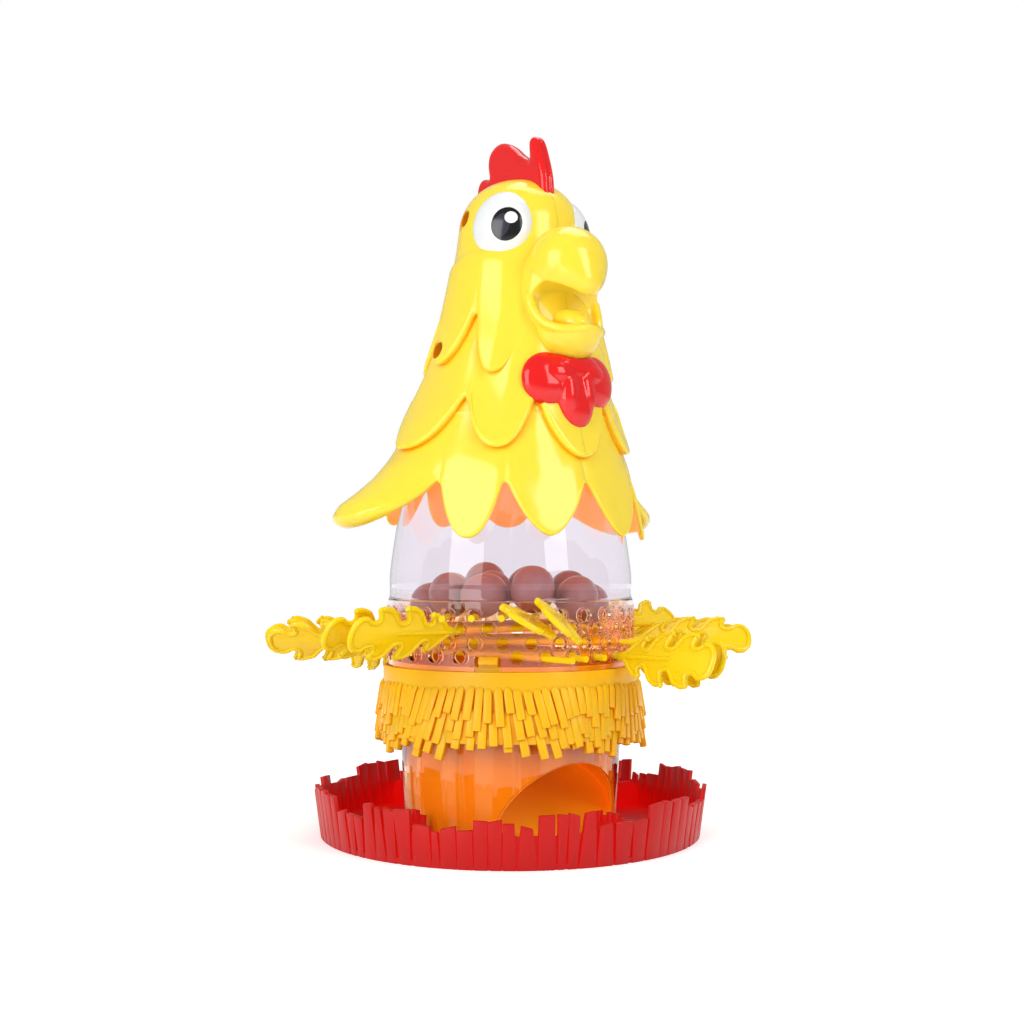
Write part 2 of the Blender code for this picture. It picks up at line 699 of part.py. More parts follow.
def make_nest_collar(material):
    """The ring that seats base and drum, its four snap tongues, and a skin of straws in two tiers."""
    shelf_top = SHELF_BOTTOM + COLLAR_SHELF
    spigot_bottom = SHELF_BOTTOM - COLLAR_SPIGOT
    ring = (
        (COLLAR_LIP_OUT, COLLAR_TOP),
        (COLLAR_LIP_OUT, shelf_top),
        (COLLAR_BODY_OUT, shelf_top),
        (COLLAR_BODY_OUT, SHELF_BOTTOM),
        (SPIGOT_OUT, SHELF_BOTTOM),
        (SPIGOT_OUT, spigot_bottom),
        (SPIGOT_IN, spigot_bottom),
        (SPIGOT_IN, SHELF_BOTTOM),
        (COLLAR_THROAT, SHELF_BOTTOM),
        (COLLAR_THROAT, shelf_top),
        (COLLAR_INNER_IN, shelf_top),
        (COLLAR_INNER_IN, COLLAR_INNER_TOP),
        (COLLAR_INNER_OUT, COLLAR_INNER_TOP),
        (COLLAR_INNER_OUT, GROOVE_FLOOR),
        (COLLAR_LIP_IN, GROOVE_FLOOR),
        (COLLAR_LIP_IN, COLLAR_TOP),
    )
    collar = solid("nest_collar", turned(ring, ROUND_SIDES), material)
    pitch = 360.0 / STRAWS
    sections = []
    for straw in range(STRAWS):
        relief = uneven(straw, STRAW_RELIEF) + STRAW_RELIEF * (-0.5) ** (straw % 2)
        upper_end = UPPER_STRAW_END + uneven(3 * straw, STRAW_UNEVENNESS)
        lower_end = LOWER_STRAW_END + uneven(4 * straw + 2, 1.4 * STRAW_UNEVENNESS)
        for share in (0.06, 0.94):
            sections.append(straw_section((straw + share) * pitch, relief, upper_end, lower_end))
    join(collar, cutter("Straw skin", lofted(sections, closed_section=True)))
    nose_top = WINDOW_TOP - SEAT_GAP
    tongue = (
        (TONGUE_OUT - COLLAR_WALL, shelf_top),
        (TONGUE_OUT, shelf_top),
        (TONGUE_OUT, nose_top - TONGUE_NOSE_HEIGHT),
        (TONGUE_OUT + TONGUE_NOSE, nose_top - TONGUE_NOSE_HEIGHT),
        (TONGUE_OUT, nose_top),
        (TONGUE_OUT - COLLAR_WALL, nose_top),
    )
    for number in range(LATCHES):
        azimuth = LATCH_AZIMUTH + 360.0 * number / LATCHES
        join(collar, cutter(f"Tongue {number + 1}", plate(tongue, TONGUE_WIDTH, on_edge(azimuth))))
    return collar


def hole_azimuths(row):
    """Azimuths of the holes in a row, without those that a window takes the place of."""
    height, offset = HOLE_ROWS[row]
    found = []
    for number in range(HOLES_A_ROW):
        azimuth = 2.0 * HALF_PITCH * (number + offset)
        from_latch = (azimuth - LATCH_AZIMUTH + HALF_PITCH) % (360.0 / LATCHES)
        if height - HOLE_RADIUS > WINDOW_TOP or from_latch > 2.0 * HALF_PITCH - 0.01:
            found.append(azimuth)
    return found


def make_drum(material):
    outside = (
        (DRUM_TOP_RADIUS, DRUM_TOP),
        (DRUM_WAIST_RADIUS, DRUM_WAIST),
        (DRUM_BEND_RADIUS, DRUM_BEND),
        (DRUM_RADIUS, DRUM_SHOULDER),
        (DRUM_RADIUS, DRUM_BOTTOM),
    )
    inside = [(radius - DRUM_WALL, height) for radius, height in reversed(outside)]
    drum = solid("drum", turned((*outside, *inside), ROUND_SIDES), material)
    holes = bmesh.new()
    for row, (height, _) in HOLE_ROWS.items():
        for azimuth in hole_azimuths(row):
            start = radial(azimuth, DRUM_RADIUS - 2.0 * DRUM_WALL, height)
            end = radial(azimuth, DRUM_RADIUS + DRUM_WALL, height)
            hole = rod(start, end, HOLE_RADIUS, HOLE_SIDES, first_corner=0.0)
            mesh = bpy.data.meshes.new("Hole")
            hole.to_mesh(mesh)
            hole.free()
            holes.from_mesh(mesh)
            bpy.data.meshes.remove(mesh)
    cut(drum, cutter("Holes", holes))
    half = WINDOW_WIDTH / 2
    window = ((-half, WINDOW_BOTTOM), (half, WINDOW_BOTTOM), (half, WINDOW_TOP), (-half, WINDOW_TOP))
    for number in range(LATCHES):
        azimuth = LATCH_AZIMUTH + 360.0 * number / LATCHES
        upright = Matrix.Translation((0.0, -DRUM_RADIUS, 0.0)) @ Matrix.Rotation(math.pi / 2, 4, "X")
        place = Matrix.Rotation(math.radians(azimuth), 4, "Z") @ upright
        cut(drum, cutter(f"Window {number + 1}", plate(window, 4.0 * DRUM_WALL, place)))
    return drum


def feather_mesh(material):
    """The mesh that all feathers share: root of the leaf at the origin, tip at +X, stick along -X."""
    right = [(x * LEAF_LENGTH, y * LEAF_WIDTH / 2) for x, y in LEAF_OUTLINE]
    left = [(x, -y) for x, y in reversed(right)]
    leaf = plate(right + left, LEAF_THICKNESS)
    top = max(leaf.faces, key=lambda face: face.calc_center_median().z)
    bmesh.ops.inset_region(leaf, faces=[top], thickness=LEAF_RIM, use_even_offset=True)
    bmesh.ops.translate(leaf, verts=top.verts[:], vec=(0.0, 0.0, -LEAF_DISH))
    master = cutter("Feather leaf", leaf)
    inner_end = Vector((-STICK_LENGTH, 0.0, 0.0))
    outer_end = Vector((STICK_IN_LEAF, 0.0, 0.0))
    stick = rod(inner_end, outer_end, STICK_RADIUS, STICK_SIDES)
    join(master, cutter("Feather stick", stick))
    graph = bpy.context.evaluated_depsgraph_get()
    mesh = bpy.data.meshes.new_from_object(master.evaluated_get(graph))
    mesh.name = "Feather"
    mesh.materials.clear()
    mesh.materials.append(material)
    mesh.shade_smooth()
    mesh.set_sharp_from_angle(angle=math.radians(SHARP_ANGLE))
    return mesh


def feather_places():
    """Root, heading and roll of each feather. A group's sticks are parallel, so no two cross in one row."""
    places = []
    for row, pitches, full_side, roll, roll_step in FEATHER_GROUPS:
        height = HOLE_ROWS[row][0] - STICK_DROP
        near = 2.0 * HALF_PITCH * pitches
        for side, heading in (("near", near), ("far", near + 180.0)):
            for steps in (0, 1, 2) if side == full_side else (1, 2):
                turn = math.radians(2.0 * HALF_PITCH * steps)
                out = radial(heading, 1.0, 0.0)
                across = Vector((-out.y, out.x, 0.0))
                root = out * (DRUM_RADIUS * math.cos(turn) + LEAF_STANDOFF)
                root += across * DRUM_RADIUS * math.sin(turn)
                root.z = height
                places.append((root, heading, roll + roll_step * steps))
    return places


def make_feathers(material):
    mesh = feather_mesh(material)
    feathers = []
    for number, (root, heading, roll) in enumerate(feather_places(), 1):
        feather = bpy.data.objects.new(f"feather_{number:02d}", mesh)
        feather.location = root
        feather.rotation_euler = Euler((math.radians(roll), 0.0, math.radians(heading - 90.0)))
        bpy.data.collections["Egg-laying chicken game"].objects.link(feather)
        feathers.append(feather)
    return feathers


def egg_shape(margin):
    """An egg with its long axis on X, larger on all sides by a margin."""
    lengthwise = Matrix.Rotation(math.pi / 2, 4, "Y")
    shape = ellipsoid((0.0, 0.0, 0.0), (1.0, 1.0, 1.0), EGG_COLUMNS, EGG_ROWS, lengthwise)
    for point in shape.verts:
        narrowing = 1.0 - EGG_TAPER * point.co.x
        point.co.x *= EGG_LENGTH / 2 + margin
        point.co.y *= (EGG_WIDTH / 2 + margin) * narrowing
        point.co.z *= (EGG_WIDTH / 2 + margin) * narrowing
    return shape


def surface_tree(shape, place):
    """A search tree over a mesh's or bmesh's faces at a place."""
    if isinstance(shape, bpy.types.Mesh):
        points = [place @ vertex.co for vertex in shape.vertices]
        faces = [tuple(face.vertices) for face in shape.polygons]
    else:
        points = [place @ vertex.co for vertex in shape.verts]
        faces = [tuple(vertex.index for vertex in face.verts) for face in shape.faces]
    return BVHTree.FromPolygons(points, faces)


def resting_height(shape, azimuth, radius, heading, below):
    """The lowest height at which a shape let straight down still clears everything below it."""
    turn = Matrix.Rotation(math.radians(heading), 4, "Z")

    def touches(height):
        tree = surface_tree(shape, Matrix.Translation(radial(azimuth, radius, height)) @ turn)
        return any(tree.overlap(other) for other in below)

    height = DRUM_WAIST
    while height > DRUM_BOTTOM and not touches(height - EGG_WIDTH / 16):
        height -= EGG_WIDTH / 16
    low = height - EGG_WIDTH / 16
    for _ in range(6):
        middle = (low + height) / 2
        if touches(middle):
            low = middle
        else:
            height = middle
    return height


def make_eggs(material, feathers):
    """Eggs let down one after another onto the sticks and onto each other."""
    bpy.context.view_layer.update()
    below = [surface_tree(feather.data, feather.matrix_world) for feather in feathers]
    with_gap = egg_shape(SEAT_GAP)
    with_gap.verts.index_update()
    for number, (azimuth, radius, heading) in enumerate(EGG_PLACES, 1):
        height = resting_height(with_gap, azimuth, radius, heading, below)
        egg = solid(f"egg_{number:02d}", egg_shape(0.0), material)
        egg.location = radial(azimuth, radius, height)
        egg.rotation_euler = (0.0, 0.0, math.radians(heading))
        bpy.context.view_layer.update()
        below.append(surface_tree(egg.data, egg.matrix_world))
    with_gap.free()


def lobed_edge(azimuth, lobes):
    """Height of a tier's lower edge: each lobe has a rounded tip, and a notch on either side."""
    turn = abs((azimuth + 180.0) % 360.0 - 180.0)
    for near, far, tip, notch in lobes:
        if turn <= far:
            break
    aside = (turn - (near + far) / 2) / ((far - near) / 2)
    return tip + (notch - tip) * abs(aside) ** LOBE_SQUARENESS


def profile_radius(height):
    """Half-width of the head at a height below the brow."""
    for (low, low_radius), (high, high_radius) in zip(HEAD_PROFILE, HEAD_PROFILE[1:]):
        if height <= high:
            break
    return between(low_radius, high_radius, (height - low) / (high - low))


def lean_at(height):
    """Forward shift of the head at a height."""
    return LEAN * smooth_step(LEAN_BOTTOM, LEAN_TOP, height)


def head_point(azimuth, height, lift):
    """A point of the head below the brow, lifted off its profile by a distance."""
    turn = abs((azimuth + 180.0) % 360.0 - 180.0)
    aside = min(abs(turn - WING_AZIMUTH) / WING_SPREAD, 1.0)
    down = max((WING_ROOT - height) / (WING_ROOT - WING_TIP), 0.0)
    flare = WING_FLARE * (1.0 - aside**2) ** 2 * down**WING_CURVE
    point = radial(azimuth, profile_radius(height) + flare + lift, height)
    point.y -= lean_at(height)
    return point


def dome_points(azimuth, lift, rings):
    """Points from the top of the head down to its widest ring, which is left out."""
    points = []
    for ring in range(rings):
        turn = math.pi / 2 * (1.0 - ring / rings)
        out = (DOME_RADIUS + lift) * math.cos(turn) ** (2.0 / DOME_SQUARENESS) if ring else 0.0
        up = (DOME_HEIGHT + lift) * math.sin(turn) ** (2.0 / DOME_SQUARENESS)
        point = radial(azimuth, out, DOME_CENTRE + up)
        point.y -= LEAN
        points.append(point)
    return points


def head_surface(lift):
    """The outside of the head, closed: dome, cheeks, shoulders and skirt, each tier over the next."""
    sections = []
    for column in range(HEAD_COLUMNS):
        azimuth = 360.0 * column / HEAD_COLUMNS
        turn = abs((azimuth + 180.0) % 360.0 - 180.0)
        cheek = lobed_edge(azimuth, CHEEK_LOBES) - lift
        shoulder = lobed_edge(azimuth, SHOULDER_LOBES) - lift
        skirt = lobed_edge(azimuth, SKIRT_LOBES) - lift
        step = TIER_STEP * smooth_step(PLAIN_FRONT, STEPPED_SIDE, turn)
        section = dome_points(azimuth, lift, DOME_RINGS)
        for share in (0.0, 0.5, 1.0):
            section.append(head_point(azimuth, between(BROW, cheek, share), lift + step * share))
        for share in (0.0, 0.5, 1.0):
            raised = between(-step, TIER_STEP, share)
            section.append(head_point(azimuth, between(cheek, shoulder, share), lift + raised))
        for share in (0.0, 0.33, 0.66, 1.0):
            raised = between(-TIER_STEP, 0.0, share)
            section.append(head_point(azimuth, between(shoulder, skirt, share), lift + raised))
        section.append(Vector((0.0, 0.0, WING_ROOT - HEAD_WALL)))
        sections.append(section)
    return lofted(sections, closed_section=False)


def cavity_surface():
    """The inside of the head in half as many columns, clear of every tier, and open below the skirt."""
    inset = -TIER_STEP - HEAD_WALL
    sections = []
    for column in range(1, HEAD_COLUMNS, 2):
        azimuth = 360.0 * column / HEAD_COLUMNS
        skirt = lobed_edge(azimuth, SKIRT_LOBES)
        section = dome_points(azimuth, -HEAD_WALL, DOME_RINGS - 2)
        for height in (BROW, between(BROW, DRUM_TOP, 0.75), DRUM_TOP):
            section.append(head_point(azimuth, height, inset))
        for share in (0.6, 1.0):
            section.append(head_point(azimuth, between(DRUM_TOP, skirt, share), inset))
        section.append(section[-1] - Vector((0.0, 0.0, 5.0 * HEAD_WALL)))
        section.append(Vector((0.0, 0.0, HEAD_PROFILE[0][0])))
        sections.append(section)
    return lofted(sections, closed_section=False)


def along_x(start, end, height, radius, sides=12):
    """A rod along a screw's axis."""
    return rod(
        Vector((start, -SCREW_FORWARD, height)),
        Vector((end, -SCREW_FORWARD, height)),
        radius,
        sides,
    )


def make_head_cavity():
    """What is hollowed out of the head: its inside, less the ledge on the drum's rim and the posts."""
    cavity = cutter("Head cavity", cavity_surface())
    low = DRUM_TOP + SEAT_GAP
    high = low + LEDGE_THICKNESS
    inner = DRUM_TOP_RADIUS - LEDGE_WIDTH
    outer = DRUM_RADIUS
    ledge = cutter("Ledge", turned(((outer, high), (outer, low), (inner, low), (inner, high)), ROUND_SIDES))
    cut(cavity, ledge)
    for place, height in SCREW_HEIGHTS.items():
        cut(cavity, cutter(f"{place} post", along_x(-DRUM_RADIUS, DRUM_RADIUS, height, POST_OUTSIDE)))
    return cavity


def make_head_half(name, side, material, cavity):
    """One half of the head. Side -1 has the screws' recesses, and side 1 the holes that they bite into."""
    half = solid(name, head_surface(0.0), material)
    cut(half, cavity)
    for place, height in SCREW_HEIGHTS.items():
        if side < 0:
            recess = along_x(-SCREW_FLOOR, -DRUM_RADIUS, height, RECESS_RADIUS)
            cut(half, cutter(f"{name} {place} recess", recess))
        hole = along_x(-SCREW_FLOOR - SEAT_GAP, SCREW_LENGTH, height, SCREW_RADIUS + SEAT_GAP, 8)
        cut(half, cutter(f"{name} {place} screw hole", hole))
    reach = 2.0 * TRAY_RADIUS
    edges = sorted((side * SEAT_GAP / 2, -side * reach))
    other_side = block((edges[0], -reach, 0.0), (edges[1], reach, 3.0 * reach))
    cut(half, cutter(f"{name} other side", other_side))
    return half


def make_head_screw(place, material):
    """A screw along X with its head in the recess."""
    height = SCREW_HEIGHTS[place]
    seat = -SCREW_FLOOR - SEAT_GAP
    screw = solid(
        f"head_screw_{place}",
        along_x(seat - SCREW_HEAD_THICKNESS, seat, height, SCREW_HEAD_RADIUS),
        material,
    )
    shank = along_x(seat - SCREW_HEAD_THICKNESS / 2, seat + SCREW_LENGTH - SEAT_GAP, height, SCREW_RADIUS, 8)
    join(screw, cutter(f"Screw {place} shank", shank))
    return screw


def beak_oval(centre, sizes):
    return ellipsoid(centre, sizes, BEAK_COLUMNS, BEAK_ROWS)


def make_beak(material, head_skin):
    """Root, upper bulb and lower jaw with the mouth scooped out, then the hooked tip and the tongue."""
    beak = solid("beak", beak_oval(BEAK_BULB, BEAK_BULB_SIZE), material)
    join(beak, cutter("Beak root", beak_oval(BEAK_ROOT, BEAK_ROOT_SIZE)))
    join(beak, cutter("Jaw", beak_oval(JAW, JAW_SIZE)))
    mouth = beak_oval(MOUTH, MOUTH_SIZE)
    keep_below(mouth, Vector(MOUTH), Vector((0.0, 0.0, 1.0)))
    cut(beak, cutter("Mouth", mouth))
    join(beak, cutter("Beak tip", beak_oval(BEAK_TIP, BEAK_TIP_SIZE)))
    join(beak, cutter("Tongue", ellipsoid(TONGUE, TONGUE_SIZE, TONGUE_COLUMNS, TONGUE_ROWS)))
    cut(beak, head_skin)
    return beak


def wattle_lobe(across, height, size):
    """A flat oval that lies on the front of the neck, to one side by a distance."""
    half_width, half_height = size
    slope = math.atan2(
        profile_radius(height - half_height)
        + lean_at(height - half_height)
        - profile_radius(height + half_height)
        - lean_at(height + half_height),
        2.0 * half_height,
    )
    turn = math.asin(across / profile_radius(height))
    centre = head_point(math.degrees(turn), height, 0.0)
    lean = Matrix.Rotation(turn, 4, "Z") @ Matrix.Rotation(-slope, 4, "X")
    return ellipsoid(centre, (half_width, WATTLE_DEPTH, half_height), WATTLE_COLUMNS, WATTLE_ROWS, lean)


def grown(sizes):
    """An oval's half-sizes with the gap to its neighbour added."""
    return [size + SEAT_GAP for size in sizes]


def make_wattle(material, head_skin):
    """Three lobes and their root in one piece, cut back from the jaw that lies over them."""
    wattle = solid("wattle", wattle_lobe(0.0, WATTLE_MIDDLE_HEIGHT, WATTLE_MIDDLE_SIZE), material)
    join(wattle, cutter("Wattle root", wattle_lobe(0.0, WATTLE_ROOT_HEIGHT, WATTLE_ROOT_SIZE)))
    round_size = (WATTLE_SIDE_RADIUS, WATTLE_SIDE_RADIUS)
    for name, across in (("left", WATTLE_SIDE_APART), ("right", -WATTLE_SIDE_APART)):
        join(wattle, cutter(f"Wattle {name}", wattle_lobe(across, WATTLE_SIDE_HEIGHT, round_size)))
    cut(wattle, cutter("Jaw and gap", beak_oval(JAW, grown(JAW_SIZE))))
    cut(wattle, cutter("Beak root and gap", beak_oval(BEAK_ROOT, grown(BEAK_ROOT_SIZE))))
    cut(wattle, head_skin)
    return wattle


def make_comb(material, head_skin):
    """A flat curve with a rounded edge, stood on the middle of the head."""
    curve = bpy.data.curves.new("Comb outline", "CURVE")
    curve.dimensions = "2D"
    curve.fill_mode = "BOTH"
    curve.extrude = COMB_THICKNESS / 2 - COMB_ROUNDING
    curve.bevel_depth = COMB_ROUNDING
    curve.bevel_resolution = 0
    curve.resolution_u = 2
    spline = curve.splines.new("BEZIER")
    spline.bezier_points.add(len(COMB_OUTLINE) - 1)
    for point, (forward, height) in zip(spline.bezier_points, COMB_OUTLINE):
        point.co = (forward, height, 0.0)
        point.handle_left_type = "AUTO"
        point.handle_right_type = "AUTO"
    spline.use_cyclic_u = True
    outline = bpy.data.objects.new("Comb outline", curve)
    bpy.data.collections["Cutters"].objects.link(outline)
    graph = bpy.context.evaluated_depsgraph_get()
    mesh = bpy.data.meshes.new_from_object(outline.evaluated_get(graph))
    bpy.data.objects.remove(outline)
    shape = bmesh.new()
    shape.from_mesh(mesh)
    bpy.data.meshes.remove(mesh)
    bmesh.ops.remove_doubles(shape, verts=shape.verts, dist=1e-6)
    bmesh.ops.transform(shape, matrix=on_edge(0.0), verts=shape.verts)
    comb = solid("comb", shape, material)
    cut(comb, head_skin)
    return comb


def make_eye(name, side, material, head_skin):
    """A domed insert on the side of the head."""
    azimuth = side * EYE_AZIMUTH
    centre = radial(azimuth, DOME_RADIUS - EYE_SINK, EYE_HEIGHT)
    centre.y -= LEAN
    sizes = (EYE_HALF_WIDTH, EYE_HALF_HEIGHT, EYE_BULGE + EYE_SINK)
    turn = Matrix.Rotation(math.radians(azimuth), 4, "Z")
    outwards = turn @ Matrix.Rotation(math.radians(90.0 - EYE_TILT), 4, "X")
    eye = solid(name, ellipsoid(centre, sizes, EYE_COLUMNS, EYE_ROWS, outwards), material)
    cut(eye, head_skin)
    return eye


def main():
    clear_scene()
    new_collection("Egg-laying chicken game")
    new_collection("Cutters")
    red = new_material("Red polystyrene", (0.62, 0.02, 0.02), 0.35)
    orange = new_material("Orange polypropylene", (0.9, 0.25, 0.01), 0.35)
    amber = new_material("Amber polypropylene", (0.95, 0.45, 0.02), 0.4)
    clear = new_material("Clear polystyrene", (0.9, 0.9, 0.92), 0.05, alpha=0.3)
    yellow = new_material("Yellow polystyrene", (0.98, 0.76, 0.03), 0.3)
    brown = new_material("Brown egg plastic", (0.45, 0.2, 0.12), 0.35)
    white = new_material("White polystyrene", (0.9, 0.9, 0.9), 0.2)
    steel = new_material("Zinc-plated steel", (0.6, 0.6, 0.58), 0.35)
    make_tray(red)
    arch = arch_cutter()
    make_base_shell(clear, arch)
    make_egg_chute(orange, arch)
    make_nest_collar(amber)
    make_drum(clear)
    make_eggs(brown, make_feathers(yellow))
    cavity = make_head_cavity()
    make_head_half("head_right", -1, yellow, cavity)
    make_head_half("head_left", 1, yellow, cavity)
    for place in SCREW_HEIGHTS:
        make_head_screw(place, steel)
    head_skin = cutter("Head skin", head_surface(SEAT_GAP))
    make_beak(yellow, head_skin)
    make_wattle(red, head_skin)
    make_comb(red, head_skin)
    make_eye("eye_left", 1, white, head_skin)
    make_eye("eye_right", -1, white, head_skin)


main()
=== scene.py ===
"""Egg-laying chicken game: the fine pieces, materials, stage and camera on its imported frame.

Metres, +Z up. An azimuth is in degrees: 0 is the chicken's front (-Y), and it grows towards +X.
"""

import math

import bmesh
import bpy
from bpy.props import FloatProperty, FloatVectorProperty, IntProperty, PointerProperty
from mathutils import Euler, Matrix, Vector


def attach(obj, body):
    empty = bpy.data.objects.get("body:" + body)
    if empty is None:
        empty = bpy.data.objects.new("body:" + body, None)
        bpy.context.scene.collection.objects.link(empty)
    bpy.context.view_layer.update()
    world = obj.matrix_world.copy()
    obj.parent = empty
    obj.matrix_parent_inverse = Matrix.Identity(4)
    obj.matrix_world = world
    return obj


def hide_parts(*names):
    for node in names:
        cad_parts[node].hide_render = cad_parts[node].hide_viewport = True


bl_info = {
    "name": "Egg-laying chicken game",
    "version": (1, 0, 0),
    "blender": (4, 5, 0),
    "location": "3D View > Sidebar > Chicken game",
    "description": "Models the visible pieces of the egg-laying chicken game on its packed frame",
    "category": "Object",
}

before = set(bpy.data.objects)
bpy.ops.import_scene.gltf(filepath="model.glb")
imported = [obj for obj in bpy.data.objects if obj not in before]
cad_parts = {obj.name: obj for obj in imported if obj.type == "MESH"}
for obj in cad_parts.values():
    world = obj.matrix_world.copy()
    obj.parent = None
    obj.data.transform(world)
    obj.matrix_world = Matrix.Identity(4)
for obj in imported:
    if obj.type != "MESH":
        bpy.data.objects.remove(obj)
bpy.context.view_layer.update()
MM = 0.001

# Gap that touching pieces keep, as in the frame
SEAT_GAP = 0.3 * MM

# Sides of turned pieces
ROUND_SIDES = 144
DRUM_SIDES = 196
POST_SIDES = 64
SCREW_SIDES = 32

# Where a turned profile starts and ends on its axis
AXIS = 0.0001 * MM

# Width in degrees of the strips that a wide plank is made of
STRIP_WIDTH = 4.2

# Fence planks from the chicken's right round to its left: width in degrees and height in millimetres
FENCE_PLANKS = (
    (12.0, 26.0),
    (7.0, 25.2),
    (5.2, 19.6),
    (3.4, 19.0),
    (3.6, 18.6),
    (4.4, 25.4),
    (7.4, 24.0),
    (5.4, 24.7),
    (5.2, 18.5),
    (2.4, 16.2),
    (4.6, 18.2),
    (4.4, 17.3),
    (7.8, 21.7),
    (3.4, 20.6),
    (5.6, 18.9),
    (4.6, 24.0),
    (6.4, 24.1),
    (5.2, 24.6),
    (5.0, 18.6),
    (5.8, 18.9),
    (5.2, 18.5),
    (5.6, 25.0),
    (3.8, 25.3),
    (9.2, 25.0),
    (8.0, 20.1),
    (10.0, 19.6),
    (6.0, 24.6),
    (7.0, 21.0),
    (5.4, 18.4),
    (8.0, 22.0),
)
FENCE_START = -111.0

# Half-widths of the head at heights below the brow, as in the frame
HEAD_PROFILE = (
    (100 * MM, 66.0 * MM),
    (120 * MM, 64.5 * MM),
    (145 * MM, 63.6 * MM),
    (160 * MM, 62.0 * MM),
    (176 * MM, 59.5 * MM),
    (195 * MM, 53.5 * MM),
    (215 * MM, 47.0 * MM),
    (242 * MM, 39.6 * MM),
    (262 * MM, 34.6 * MM),
    (282 * MM, 30.8 * MM),
    (292 * MM, 30.0 * MM),
)

# Lobes of each tier from front to back, mirrored: near and far azimuth, height of tip and of notches,
# and squareness of the tip
CHEEK_LOBES = (
    (-30.0, 30.0, 236 * MM, 240 * MM, 2.2),
    (30.0, 67.5, 218 * MM, 246 * MM, 2.2),
    (67.5, 112.5, 224 * MM, 246 * MM, 2.2),
    (112.5, 157.5, 222 * MM, 246 * MM, 2.2),
    (157.5, 202.5, 222 * MM, 246 * MM, 2.2),
)
SHOULDER_LOBES = (
    (-22.5, 22.5, 179 * MM, 205 * MM, 2.0),
    (22.5, 60.0, 183 * MM, 205 * MM, 2.2),
    (60.0, 120.0, 184 * MM, 207 * MM, 2.2),
    (120.0, 165.0, 182 * MM, 205 * MM, 2.2),
    (165.0, 195.0, 181 * MM, 203 * MM, 2.2),
)
SKIRT_LOBES = (
    (0.0, 37.5, 143 * MM, 167 * MM, 1.75),
    (37.5, 67.5, 142 * MM, 167 * MM, 2.3),
    (67.5, 127.5, 146.8 * MM, 168 * MM, 2.2),
    (127.5, 165.0, 150 * MM, 168 * MM, 2.2),
    (165.0, 195.0, 150 * MM, 168 * MM, 2.2),
)

# Comb: forward distance and height round its outline, front base first
COMB_OUTLINE = (
    (31.0 * MM, 301.0 * MM),
    (30.0 * MM, 313.0 * MM),
    (27.0 * MM, 323.0 * MM),
    (23.5 * MM, 331.0 * MM),
    (21.2 * MM, 331.0 * MM),
    (20.8 * MM, 321.5 * MM),
    (11.0 * MM, 326.0 * MM),
    (3.0 * MM, 332.0 * MM),
    (-5.0 * MM, 335.5 * MM),
    (-11.5 * MM, 333.5 * MM),
    (-13.5 * MM, 328.5 * MM),
    (-12.5 * MM, 321.5 * MM),
    (-16.0 * MM, 320.0 * MM),
    (-20.5 * MM, 321.0 * MM),
    (-23.0 * MM, 317.0 * MM),
    (-21.5 * MM, 310.0 * MM),
    (5.0 * MM, 300.0 * MM),
)

# Right side of a leaf from root to tip, as shares of its length and half its width
LEAF_OUTLINE = (
    (0.00, 0.13),
    (0.08, 0.17),
    (0.16, 0.50),
    (0.23, 0.72),
    (0.30, 0.70),
    (0.265, 0.36),
    (0.31, 0.34),
    (0.38, 0.78),
    (0.46, 0.98),
    (0.555, 0.96),
    (0.505, 0.44),
    (0.56, 0.42),
    (0.64, 0.86),
    (0.73, 1.00),
    (0.80, 0.92),
    (0.765, 0.50),
    (0.815, 0.48),
    (0.87, 0.66),
    (0.94, 0.62),
    (0.985, 0.40),
    (1.00, 0.15),
)

# Groups of five parallel sticks: row, direction in hole pitches, side with three leaves, roll, roll step
FEATHER_GROUPS = (
    ("A", -3.0, "far", -16.0, -14.0),
    ("B", -6.5, "far", 52.0, 6.0),
    ("C", 4.0, "far", 58.0, -7.0),
    ("D", 0.5, "far", 64.0, 5.0),
)

# Rows of holes: height, and half a pitch of offset or none
HOLE_ROWS = {
    "A": (107.0 * MM, 0.0),
    "B": (101.0 * MM, 0.5),
    "C": (94.5 * MM, 0.0),
    "D": (88.5 * MM, 0.5),
}

# The frame's six-sided feather holes: the radius of their corners, and the clearance under a stick
FRAME_HOLE_RADIUS = 3.3 * MM
STICK_CLEARANCE = 0.6 * MM

# Gap between the drum and the root of a leaf
LEAF_GAP = 1.2 * MM

# Azimuth of the first of the four latches, at which the drum has its windows
LATCH_AZIMUTH = 45.0

# The chute's ribs: azimuth of the first, how many go round, and how many of them fall in the arch
RIB_AZIMUTH = -27.9
RIBS_ROUND = 12
RIBS_IN_ARCH = 3
RIB_ENDS = (12 * MM, 56 * MM)
RIB_RADIUS = 0.3 * MM

# The cone that the straws lie on, as height and radius: its foot, and its neck at the drum's groove
STRAW_FOOT = (45 * MM, 66.6 * MM)
STRAW_NECK = (76 * MM, 61.4 * MM)

# Tiers of straws: top, bottom, height off the cone, and share of a full tier's number
STRAW_TIERS = (
    (77 * MM, 60 * MM, 0.0, 1.0),
    (68 * MM, 51 * MM, -1.2 * MM, 1.0),
    (58 * MM, 46 * MM, -2.4 * MM, 0.75),
)

# Two points of the drum's wall above its step, as height and outer radius, and the radius at its rim
DRUM_SHOULDER = (145 * MM, 56.2 * MM)
DRUM_NECK = (171 * MM, 51.7 * MM)
DRUM_TOP_RADIUS = 46.8 * MM

# The two head screws run along X: their heights, the Y of their line, and the X under their heads
SCREWS = {"upper": 295 * MM, "lower": 231 * MM}
SCREW_LINE = -3 * MM
SCREW_SEAT = -3.3 * MM

# The posts that the screws hold together, with the recess for the driver and the bore for the thread
SCREW_POST_RADIUS = 5.6 * MM
SCREW_RECESS_RADIUS = 4 * MM
SCREW_BORE_RADIUS = 1.8 * MM

